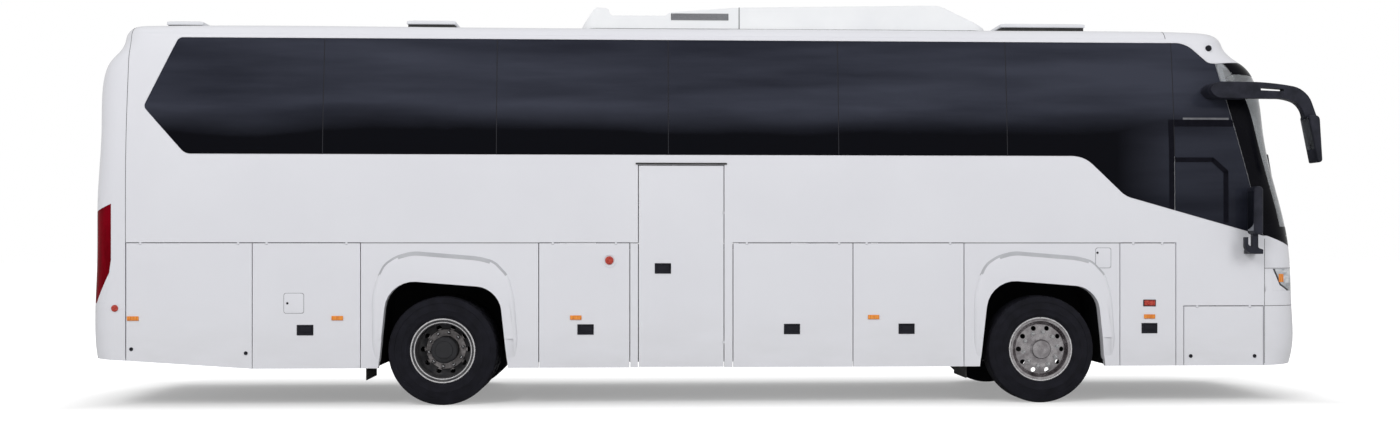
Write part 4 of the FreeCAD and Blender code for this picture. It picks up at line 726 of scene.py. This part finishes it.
# Small fittings on the right-hand side: an indicator on the battery flap and a red lamp on the rear corner,
# a filler dish with a red button, two access flaps with their locks, and dark locks at the feet of the end flaps.
def disc(name, distance, z, radius, depth, *steps):
    """A round fitting on the right-hand side, ahead of the rear axle, with steps of (inset, rise) on its face."""
    x, side = rear_axle_x + distance, -1
    piece = drum(name, 36, radius, depth, (x, side * (half_width + depth / 2 - 0.001), z))
    chosen_faces(piece, lambda c, n: n.y * side > 0.9)
    for thickness, rise in steps:
        bpy.ops.mesh.inset(thickness=thickness)
        if rise:
            bpy.ops.mesh.extrude_region_move(TRANSFORM_OT_translate={"value": (0, side * rise, 0)})
    bpy.ops.object.mode_set(mode="OBJECT")
    return modified(piece, "BEVEL", width=0.0015, segments=2)


red_glow = mottled("red_button", (0.30, 0.015, 0.012), (0.52, 0.07, 0.04), 60, (0.25, 0.35), 0.05, 300)
settle(disc("filler_dish", 1.597, 1.39, 0.068, 0.006, (0.010, 0), (0.006, -0.004)), "rear_hold_flap_right", paint)
settle(disc("filler_button", 1.597, 1.39, 0.040, 0.012, (0.008, 0.002)), "rear_hold_flap_right", red_glow)
settle(disc("rear_corner_lamp", -3.082, 0.938, 0.032, 0.010, (0.006, 0.002)), "root", red_glow)
x = rear_axle_x + 6.862
case = rounded_block("indicator_case", (x - 0.0625, -1.262, 0.940), (x + 0.0625, -1.254, 1.006), 0.004)
settle(case, "battery_flap_right", satin_black)
lens = rounded_block("indicator_lens", (x - 0.054, -1.270, 0.948), (x + 0.054, -1.258, 0.998), 0.006)
settle(lens, "battery_flap_right", red_glow)
joint_grey = mottled("flap_joint", (0.20, 0.20, 0.22), (0.30, 0.30, 0.32), 60, (0.5, 0.65), 0.1)
access = [("tank_flap", "locker_flap_right", -1.4035, 0.983, 0.0965, 0.098, 0.022, (-0.060, 0.0)),
          ("fuel_flap", "root", 6.405, 1.413, 0.078, 0.100, 0.022, (-0.058, 0.05))]
layers = [("joint", 0.0, -1.2560, joint_grey, None), ("lid", 0.0045, -1.2575, paint, "body_paint")]
for name, carrier, distance, height, half_long, half_tall, corner, lock_at in access:
    for part, inset, face, finish, slot in layers:
        outline = [(distance + sx * (half_long - inset), height + sz * (half_tall - inset), corner)
                   for sx, sz in ((-1, -1), (-1, 1), (1, 1), (1, -1))]
        settle(plate(f"{name}_{part}", outline, -1.254, face, 0.0004), carrier, finish)
    lock = disc(f"{name}_lock", distance + lock_at[0], height + lock_at[1], 0.011, 0.007, (0.004, -0.001))
    settle(lock, carrier, satin_black)
foot_locks = [("engine_flap_right", -2.928, 0.550), ("engine_flap_right", -1.855, 0.509),
              ("corner_flap_right", 7.271, 0.454), ("corner_flap_right", 7.906, 0.452)]
for carrier, distance, height in foot_locks:
    lock = disc(f"foot_lock_{int(abs(distance) * 1000)}", distance, height, 0.018, 0.006, (0.006, -0.002))
    settle(lock, carrier, satin_black)


# Dome marker: a dark round repeater high on the right-hand shoulder, over the driver's window.
# It is moved inwards from the side's plane, until it sits on the dome's own skin.
distance, height = 7.493, 3.478
outside = Vector((rear_axle_x + distance, -3, height))
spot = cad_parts["front_dome"].ray_cast(outside, Vector((0, 1, 0)))[1]
repeater = disc("dome_repeater", distance, height, 0.030, 0.020, (0.007, 0.002))
bpy.ops.object.select_all(action="DESELECT")
repeater.select_set(True)
bpy.ops.transform.translate(value=(0, spot.y + half_width + 0.004, 0))
settle(repeater, "root", satin_black)


# Rain gutter over the emergency door: a straight dark rubber profile with rounded edges, along the door's top.
# It is stuck to the side panel.
gutter = rounded_block("emergency_door_gutter", (rear_axle_x + 1.850, -1.262, 2.314),
                       (rear_axle_x + 2.730, -1.240, 2.330), 0.003)
settle(gutter, "root", rubber)


# Driver's window: a sliding pane in a slim dark frame, with a grey rail along its top.
# The frame is bonded to the pane behind it and follows its curve.
window_frame = mottled("window_frame", (0.002, 0.002, 0.005), (0.004, 0.004, 0.008), 20, (0.5, 0.6), 0.1, 300,
                       shine=0.1)
window_rail = mottled("window_rail", (0.10, 0.102, 0.115), (0.15, 0.152, 0.165), 20, (0.4, 0.5), 0.1, 300)
bars = [("rail_top", 7.205, 7.660, 2.766, 2.786, window_rail), ("head", 7.060, 7.700, 2.700, 2.766, window_frame),
        ("back", 7.060, 7.110, 1.850, 2.700, window_frame), ("slide_top", 7.110, 7.500, 2.350, 2.395, window_frame),
        ("slide_front", 7.598, 7.645, 1.760, 2.265, window_frame)]
for name, start, finish, foot, top, look in bars:
    bar = skin_strip(f"driver_window_{name}", "side_glass_right", [(0, start, finish), (2, foot, top)],
                     lambda c, n: n.y < -0.5, 0.004)
    settle(bar, "root", look)
corner = skin_strip("driver_window_slide_corner", "side_glass_right", [(0, 7.485, 7.645), (2, 2.240, 2.395)],
                    lambda c, n: n.y < -0.5, 0.004)
inward = Vector((-0.130, 0, -0.145)).normalized()
outer = Vector((rear_axle_x + 7.500, 0, 2.395))
clear_beyond(corner, outer, -inward)
clear_beyond(corner, outer + inward * 0.046, inward)
settle(corner, "root", window_frame)


# Mirrors: a high one that hangs from a bowed arm on each front shoulder, and a low one on a hooked stem at the right.
# Housings and arms are dark grey mouldings; each outline is drawn point by point, filled, widened and rounded.
def mirror_glass(name, housing):
    """The reflecting glass in the rear face of a mirror housing."""
    glass = duplicate(housing, name)
    without_faces(glass, lambda c, n: n.x > -0.85)
    bpy.ops.object.mode_set(mode="EDIT")
    bpy.ops.mesh.select_all(action="SELECT")
    low = [min(v.co[i] for v in housing.data.vertices) for i in range(3)]
    high = [max(v.co[i] for v in housing.data.vertices) for i in range(3)]
    middle = [(a + b) / 2 for a, b in zip(low, high)]
    bpy.ops.transform.resize(value=(1, 0.88, 0.93), center_override=middle)
    bpy.ops.object.mode_set(mode="OBJECT")
    return modified(glass, "SOLIDIFY", thickness=0.0015, offset=1.0)


mirror_grey = mottled("mirror_moulding", (0.010, 0.011, 0.017), (0.022, 0.023, 0.034), 9, (0.45, 0.55), 0.12, 350,
                      shine=0.25)
silvered, tree, shader = new_finish("silvered_glass", 0.03, metallic=1.0)
tree.links.new(spread(tree, noise(tree, 3.0, 2.0), (0.22, 0.23, 0.25), (0.28, 0.29, 0.31)),
               shader.inputs["Base Color"])
HIGH_ARM = [(7.382, 3.045, 0.03), (7.440, 3.116, 0.05), (8.000, 3.112, 0.20), (8.335, 3.045, 0.13), (8.440, 2.755),
            (8.318, 2.755), (8.290, 2.885, 0.08), (8.150, 2.955, 0.09), (7.440, 2.960, 0.05)]
HIGH_SLOT = [(7.880, 3.033), (8.106, 3.024), (8.106, 3.046), (7.880, 3.061)]
HIGH_PAD = [(7.382, 3.045, 0.03), (7.440, 3.116, 0.05), (7.800, 3.114), (7.800, 2.966), (7.440, 2.965, 0.05)]
HIGH_HEAD = [(8.318, 2.790, 0.03), (8.428, 2.790, 0.045), (8.456, 2.345, 0.02), (8.412, 2.328, 0.02)]
LOW_HEAD = [(7.806, 2.106, 0.040), (7.896, 2.106, 0.040), (7.896, 1.640, 0.03), (7.806, 1.640, 0.03)]
LOW_STEM = [(7.815, 1.665), (7.870, 1.665), (7.870, 1.512, 0.015), (7.920, 1.496), (7.920, 1.452),
            (7.790, 1.452, 0.035), (7.742, 1.500, 0.03), (7.742, 1.615), (7.772, 1.615), (7.772, 1.540, 0.015),
            (7.815, 1.520)]
for side, side_name in SIDES:
    arm = plate(f"high_mirror_arm_{side_name}", HIGH_ARM, side * 1.460, side * 1.370, 0.018)
    slot = plate(f"slot_{side_name}", HIGH_SLOT, side * 1.50, side * 1.33, 0.004)
    modified(arm, "BOOLEAN", operation="DIFFERENCE", object=slot, solver="EXACT")
    bpy.data.objects.remove(slot)
    pad = plate(f"high_mirror_pad_{side_name}", HIGH_PAD, side * 1.385, side * 1.165, 0.012)
    head = plate(f"high_mirror_head_{side_name}", HIGH_HEAD, side * 1.535, side * 1.325, 0.020)
    glass = mirror_glass(f"high_mirror_glass_{side_name}", head)
    for piece in (arm, pad, head):
        settle(piece, "root", mirror_grey)
        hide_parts("mirrors")
    settle(glass, "root", silvered)
stem = plate("low_mirror_stem", LOW_STEM, -1.430, -1.370, 0.006)
foot = rounded_block("low_mirror_foot", (rear_axle_x + 7.800, -1.400, 1.452),
                     (rear_axle_x + 7.920, -1.235, 1.490), 0.006)
head = plate("low_mirror_head", LOW_HEAD, -1.490, -1.310, 0.022)
glass = mirror_glass("low_mirror_glass", head)
for piece in (stem, foot, head):
    settle(piece, "root", mirror_grey)
    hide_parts("mirrors")
settle(glass, "root", silvered)


# Roof hatches: three low lids with rounded edges, each on a dark seal, behind, amidships and ahead of the cooler.
# They stand on the roof panel over its own hatch frames.
lid_white = mottled("hatch_lid", (0.70, 0.71, 0.74), (0.76, 0.77, 0.80), 2.0, (0.35, 0.45), 0.05, 200)
hatches = [("rear", -2.861, -2.521, 3.805), ("middle", -0.460, 0.010, 3.828), ("front", 5.620, 6.480, 3.834)]
half_seal, lid_overhang = 0.38, 0.012
for name, start, finish, top in hatches:
    start, finish, half_lid = rear_axle_x + start, rear_axle_x + finish, half_seal + lid_overhang
    seal = rounded_block(f"{name}_hatch_seal", (start, -half_seal, 3.640), (finish, half_seal, top - 0.046), 0.006)
    settle(seal, "root", rubber)
    lid = block(f"{name}_hatch_lid", (start - lid_overhang, -half_lid, top - 0.048),
                (finish + lid_overhang, half_lid, top - 0.014))
    chosen_faces(lid, lambda c, n: n.z > 0.9)
    bpy.ops.mesh.inset(thickness=0.07, depth=0.014)
    bpy.ops.object.mode_set(mode="OBJECT")
    modified(lid, "BEVEL", width=0.008, segments=3)
    settle(lid, "root", lid_white)


# Roof cooler trim: air louvres in both sides of the cowl, the seam across it, and a dark seal round its foot.
# The louvres are slats set in a dark recess.
cowl_y, slat_pitch = 0.820, 0.0105
for side, side_name in SIDES:
    near, far = sorted((side * cowl_y, side * (cowl_y + 0.003)))
    recess = rounded_block(f"cooler_louvre_bed_{side_name}", (rear_axle_x + 2.200, near, 3.772),
                           (rear_axle_x + 2.770, far, 3.838), 0.001)
    settle(recess, "root", black_plastic)
    near, far = sorted((side * cowl_y, side * (cowl_y + 0.007)))
    slats = []
    for number in range(6):
        z = 3.776 + slat_pitch * number
        slats.append(rounded_block(f"slat_{number}", (rear_axle_x + 2.204, near, z),
                                   (rear_axle_x + 2.766, far, z + 0.0045), 0.001, 2))
    settle(joined(f"cooler_louvres_{side_name}", slats), "root", lip_grey)
seam = skin_strip("cooler_seam", "roof_air_conditioner", [(0, 2.873, 2.881)],
                  lambda c, n: abs(n.x) < 0.6 and n.z > -0.2)
settle(seam, "root", sealant)
foot_seal = skin_strip("cooler_foot_seal", "roof_air_conditioner", [(2, 3.655, 3.688)],
                       lambda c, n: abs(n.z) < 0.3 and abs(c.y) > 0.6, 0.002)
settle(foot_seal, "root", rubber)


# Front end: a dark air grille of slats between the headlamps, and a bare number plate on each bumper.
# Each headlamp is a clear lens with a dark rim along its two slopes and an amber turn lamp on its side, and what
# the slopes cut off the node carries on the body's corner.
def displaced(piece, rise):
    """Raises a piece by a distance along its normals."""
    return modified(piece, "DISPLACE", strength=rise, mid_level=0.0)


grille_black = mottled("grille_black", (0.010, 0.010, 0.012), (0.02, 0.02, 0.022), 14, (0.45, 0.6), 0.15, 300)
for number in range(5):
    foot = 1.015 + 0.045 * number
    slat = skin_strip(f"front_grille_slat_{number}", "front_panel", [(1, -0.50, 0.50), (2, foot, foot + 0.030)],
                      lambda c, n: n.x > 0.5, 0.006)
    settle(slat, "root", grille_black)
tip, bend = Vector((rear_axle_x + 8.092, 0, 1.300)), Vector((rear_axle_x + 8.167, 0, 1.146))
beyond_tip, beyond_bend = Vector((-0.154, 0, -0.075)).normalized(), Vector((-0.090, 0, -0.157)).normalized()
rim_width = 0.016
housing_dark = mottled("lamp_housing", (0.02, 0.02, 0.024), (0.05, 0.05, 0.055), 30, (0.25, 0.4), 0.05, 300)
for side, side_name in SIDES:
    lens = lamp_of(side, f"headlamp_lens_{side_name}", "headlamps")
    lower, middle = duplicate(lens, "lower"), duplicate(lens, "middle")
    clear_beyond(lens, tip, beyond_tip, True)
    clear_beyond(lens, bend, beyond_bend, True)
    clear_beyond(lower, tip, -beyond_tip, True)
    clear_beyond(middle, tip, beyond_tip, True)
    clear_beyond(middle, bend, -beyond_bend, True)
    rim_one, rim_two = duplicate(lens, "rim_one"), duplicate(lens, "rim_two")
    clear_beyond(rim_one, tip - beyond_tip * rim_width, -beyond_tip, True)
    clear_beyond(rim_two, bend - beyond_bend * rim_width, -beyond_bend, True)
    turn = duplicate(lens, f"headlamp_turn_{side_name}")
    keep_between(turn, 0, rear_axle_x + 8.155, rear_axle_x + 8.215)
    keep_between(turn, 2, 1.175, 1.255)
    settle(lens, "root", clear_lens)
    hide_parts("headlamps")
    infill = joined(f"headlamp_infill_{side_name}", [lower, middle])
    settle(infill, "root", paint)
    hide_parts("headlamps")
    rim = displaced(joined(f"headlamp_rim_{side_name}", [rim_one, rim_two]), 0.0012)
    settle(rim, "root", housing_dark)
    settle(displaced(turn, 0.0016), "root", amber)
plate_grey = mottled("bare_plate", (0.55, 0.55, 0.54), (0.62, 0.62, 0.61), 30, (0.4, 0.5), 0.05, 300)
for end, ahead, foot in (("front", 1, 0.560), ("rear", -1, 0.620)):
    bare = skin_strip(f"{end}_number_plate", f"{end}_bumper", [(1, -0.26, 0.26), (2, foot, foot + 0.115)],
                      lambda c, n: n.x * ahead > 0.5, 0.004)
    settle(bare, "root", plate_grey)


# Engine door grille: eight rows of dark slats across the middle of the door.
# They lift with the door.
for number in range(8):
    foot = 1.16 + 0.055 * number
    slat = skin_strip(f"engine_door_slat_{number}", "engine_door", [(1, -0.58, 0.58), (2, foot, foot + 0.034)],
                      lambda c, n: n.x < -0.5, 0.005)
    settle(slat, "engine_door", grille_black)


# Entrance door pull: a slim upright grip outside, near the door's leading edge.
# It is one bar on two feet.
x = rear_axle_x + 6.72
grip = rounded_block("entrance_door_grip", (x - 0.012, 1.282, 1.02), (x + 0.012, 1.298, 1.34), 0.006)
feet = [rounded_block("grip_foot", (x - 0.012, 1.250, z), (x + 0.012, 1.290, z + 0.03), 0.004) for z in (1.02, 1.31)]
settle(joined("entrance_door_grip", [grip] + feet), "entrance_door", satin_black)


# Seats: padded doubles in blue-grey moquette, on moulded pedestals and back shells, and a driver's seat.
# One double is cut, filled by cloth simulation and given its seams, then copied to every place.
def filled_pad(piece, cap):
    """Fills a pad: remeshed, swollen as cloth under pressure, and held within a cap of its first shape."""
    modified(piece, "BEVEL", width=0.016, segments=3)
    modified(piece, "REMESH", mode="VOXEL", voxel_size=0.028)
    rest = [vertex.co.copy() for vertex in piece.data.vertices]
    alone(piece)
    cloth = piece.modifiers.new("Cloth", "CLOTH")
    cloth.settings.use_pressure = True
    cloth.settings.uniform_pressure_force = 4
    cloth.settings.effector_weights.gravity = 0
    for step in range(1, 21):
        bpy.context.scene.frame_set(step)
    bpy.ops.object.modifier_apply(modifier=cloth.name)
    bpy.context.scene.frame_set(1)
    for vertex, start in zip(piece.data.vertices, rest):
        moved = vertex.co - start
        if moved.length > cap:
            vertex.co = start + moved.normalized() * cap
    return modified(piece, "SUBSURF", levels=1)


def sewn(piece, axis, levels):
    """Draws seams across a pad where a coordinate meets one of the levels."""
    for vertex in piece.data.vertices:
        if any(abs(vertex.co[axis] - level) < 0.008 for level in levels):
            vertex.co -= vertex.normal * 0.005
    return piece


def slanted(name, low, high, shift, narrow=1.0):
    """A block whose top is shifted along the coach and narrowed."""
    piece = block(name, low, high)
    chosen_faces(piece, lambda c, n: n.z > 0.9)
    bpy.ops.transform.resize(value=(narrow, 1, 1))
    bpy.ops.transform.translate(value=(shift, 0, 0))
    bpy.ops.object.mode_set(mode="OBJECT")
    return piece


moquette = mottled("seat_moquette", (0.03, 0.04, 0.10), (0.07, 0.085, 0.17), 90, (0.85, 0.95), 0.3, 700)
seat_shell = mottled("seat_shell", (0.05, 0.052, 0.06), (0.08, 0.082, 0.09), 20, (0.5, 0.65), 0.2, 300)
cushion = block("cushion", (-0.060, 0.315, 0.395), (0.452, 0.700, 0.482))
cushion = sewn(filled_pad(cushion, 0.022), 0, (0.12, 0.34))
back = slanted("back", (-0.048, 0.315, 0.475), (0.092, 0.700, 1.118), -0.168, 0.52)
back = sewn(filled_pad(back, 0.022), 2, (0.72, 0.93))
abreast = (0, 0.415)  # the two places of a double, across the coach
pads = joined("seat_pads", [duplicate(piece, "pad", (0, shift, 0)) for piece in (cushion, back) for shift in abreast])
pedestal = slanted("pedestal", (-0.050, 0.360, 0.062), (0.320, 1.070, 0.385), 0.0, 0.9)
shells = [slanted("shell", (-0.078, 0.312 + shift, 0.400), (-0.060, 0.703 + shift, 1.125), -0.128) for shift in abreast]
base = modified(joined("seat_base", [pedestal] + shells), "BEVEL", width=0.006, segments=2)
first_row, row_pitch, seat_level = -2.480, 0.790, 1.490
for row in range(11):
    for side_name, across in (("left", 0.0), ("right", -1.430)):
        distance = first_row + row_pitch * row
        if side_name == "right" and 1.370 < distance < 2.950:  # the emergency door's stairwell
            continue
        place = (rear_axle_x + distance, across, seat_level)
        soft = settle(duplicate(pads, f"seat_pads_{side_name}_{row}", place), "root", moquette, 1.2)
        hard = settle(duplicate(base, f"seat_base_{side_name}_{row}", place), "root", seat_shell)
        for piece in (soft, hard):
            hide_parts("passenger_seats")
place = (rear_axle_x + 7.000, -1.128, 0.960)
soft = joined("driver_pads", [duplicate(piece, "pad", place) for piece in (cushion, back)])
soft = settle(soft, "root", moquette, 1.2)
pedestal = slanted("driver_base", (rear_axle_x + 6.950, -0.800, 1.022), (rear_axle_x + 7.320, -0.440, 1.345), 0.0,
                   0.9)
shell = slanted("shell", (rear_axle_x + 6.922, -0.813, 1.360), (rear_axle_x + 6.940, -0.425, 2.085), -0.128)
hard = modified(joined("driver_base", [pedestal, shell]), "BEVEL", width=0.006, segments=2)
settle(hard, "root", seat_shell)
for piece in (soft, hard):
    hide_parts("driver_seat")
for piece in (cushion, back, pads, base):
    bpy.data.objects.remove(piece)


# Floor, light and camera: a plain pale studio, seen from the right-hand side at standing height.
# To the camera the floor glows away from the coach, so it fades to white; its weaker glow round the coach is painted
# shadow, and all else sees a plain grey floor.
bpy.ops.object.select_all(action="DESELECT")
bpy.ops.mesh.primitive_plane_add(size=240, location=(0, 0, 0))
floor = bpy.context.object
floor.name = "floor"
floor_finish, tree, shader = new_finish("studio_floor", 0.9)
shader.inputs["Base Color"].default_value = (0.6, 0.6, 0.6, 1)
floor.data.materials.append(floor_finish)
glow_with_painted_shadow = tree.nodes.new("ShaderNodeEmission")
parts = coordinates(tree)
# Painted shadow: the glow is weaker near the coach's footprint, so the floor there looks darker to the camera.
away = [worked_out(tree, "SUBTRACT", worked_out(tree, "ABSOLUTE", parts[axis]), reach)
        for axis, reach in (("X", 5.9), ("Y", 1.15))]
tree.links.new(spread(tree, worked_out(tree, "MAXIMUM", *away), 0.30, 0.80, -0.3, 1.1), glow_with_painted_shadow.inputs["Strength"])
path = tree.nodes.new("ShaderNodeLightPath")
lit = tree.nodes.new("ShaderNodeMixShader")
nothing = tree.nodes.new("ShaderNodeEmission")
nothing.inputs["Strength"].default_value = 0.0
both = tree.nodes.new("ShaderNodeAddShader")
output = tree.nodes["Material Output"]
tree.links.new(path.outputs["Is Camera Ray"], lit.inputs[0])
tree.links.new(nothing.outputs[0], lit.inputs[1])
tree.links.new(glow_with_painted_shadow.outputs[0], lit.inputs[2])
tree.links.new(shader.outputs[0], both.inputs[0])
tree.links.new(lit.outputs[0], both.inputs[1])
tree.links.new(both.outputs[0], output.inputs["Surface"])

world = bpy.data.worlds.new("studio")
bpy.context.scene.world = world
world.use_nodes = True
tree = world.node_tree
sky = tree.nodes["Background"]
sky.inputs["Color"].default_value = (1, 1, 1, 1)
path = tree.nodes.new("ShaderNodeLightPath")
level = tree.nodes.new("ShaderNodeMapRange")
level.inputs["To Min"].default_value = 0.62
level.inputs["To Max"].default_value = 1.0
tree.links.new(path.outputs["Is Camera Ray"], level.inputs["Value"])
tree.links.new(level.outputs["Result"], sky.inputs["Strength"])

lamps = [("key", (-9, -16, 13), 1500, 9), ("fill", (10, -14, 9), 700, 9), ("back", (0, 16, 12), 900, 10)]
aim = Vector((0, 0, 1.8))
for name, place, power, size in lamps:
    lamp = bpy.data.lights.new(name, "AREA")
    lamp.energy = power
    lamp.shape = "DISK"
    lamp.size = size
    holder = bpy.data.objects.new(name, lamp)
    holder.visible_glossy = False
    holder.location = place
    holder.rotation_mode = "QUATERNION"
    holder.rotation_quaternion = (aim - Vector(place)).to_track_quat("-Z", "Y")
    bpy.context.scene.collection.objects.link(holder)

camera = bpy.data.cameras.new("camera")
camera.sensor_width = 36
camera.lens = 37.4
camera.shift_y = 0.026
camera.clip_end = 500
holder = bpy.data.objects.new("camera", camera)
holder.location = (-0.715, -15.26, 1.52)
holder.rotation_euler = (math.radians(90), 0, math.radians(-2.41))
bpy.context.scene.collection.objects.link(holder)
bpy.context.scene.camera = holder
bpy.context.scene.view_settings.view_transform = "Standard"
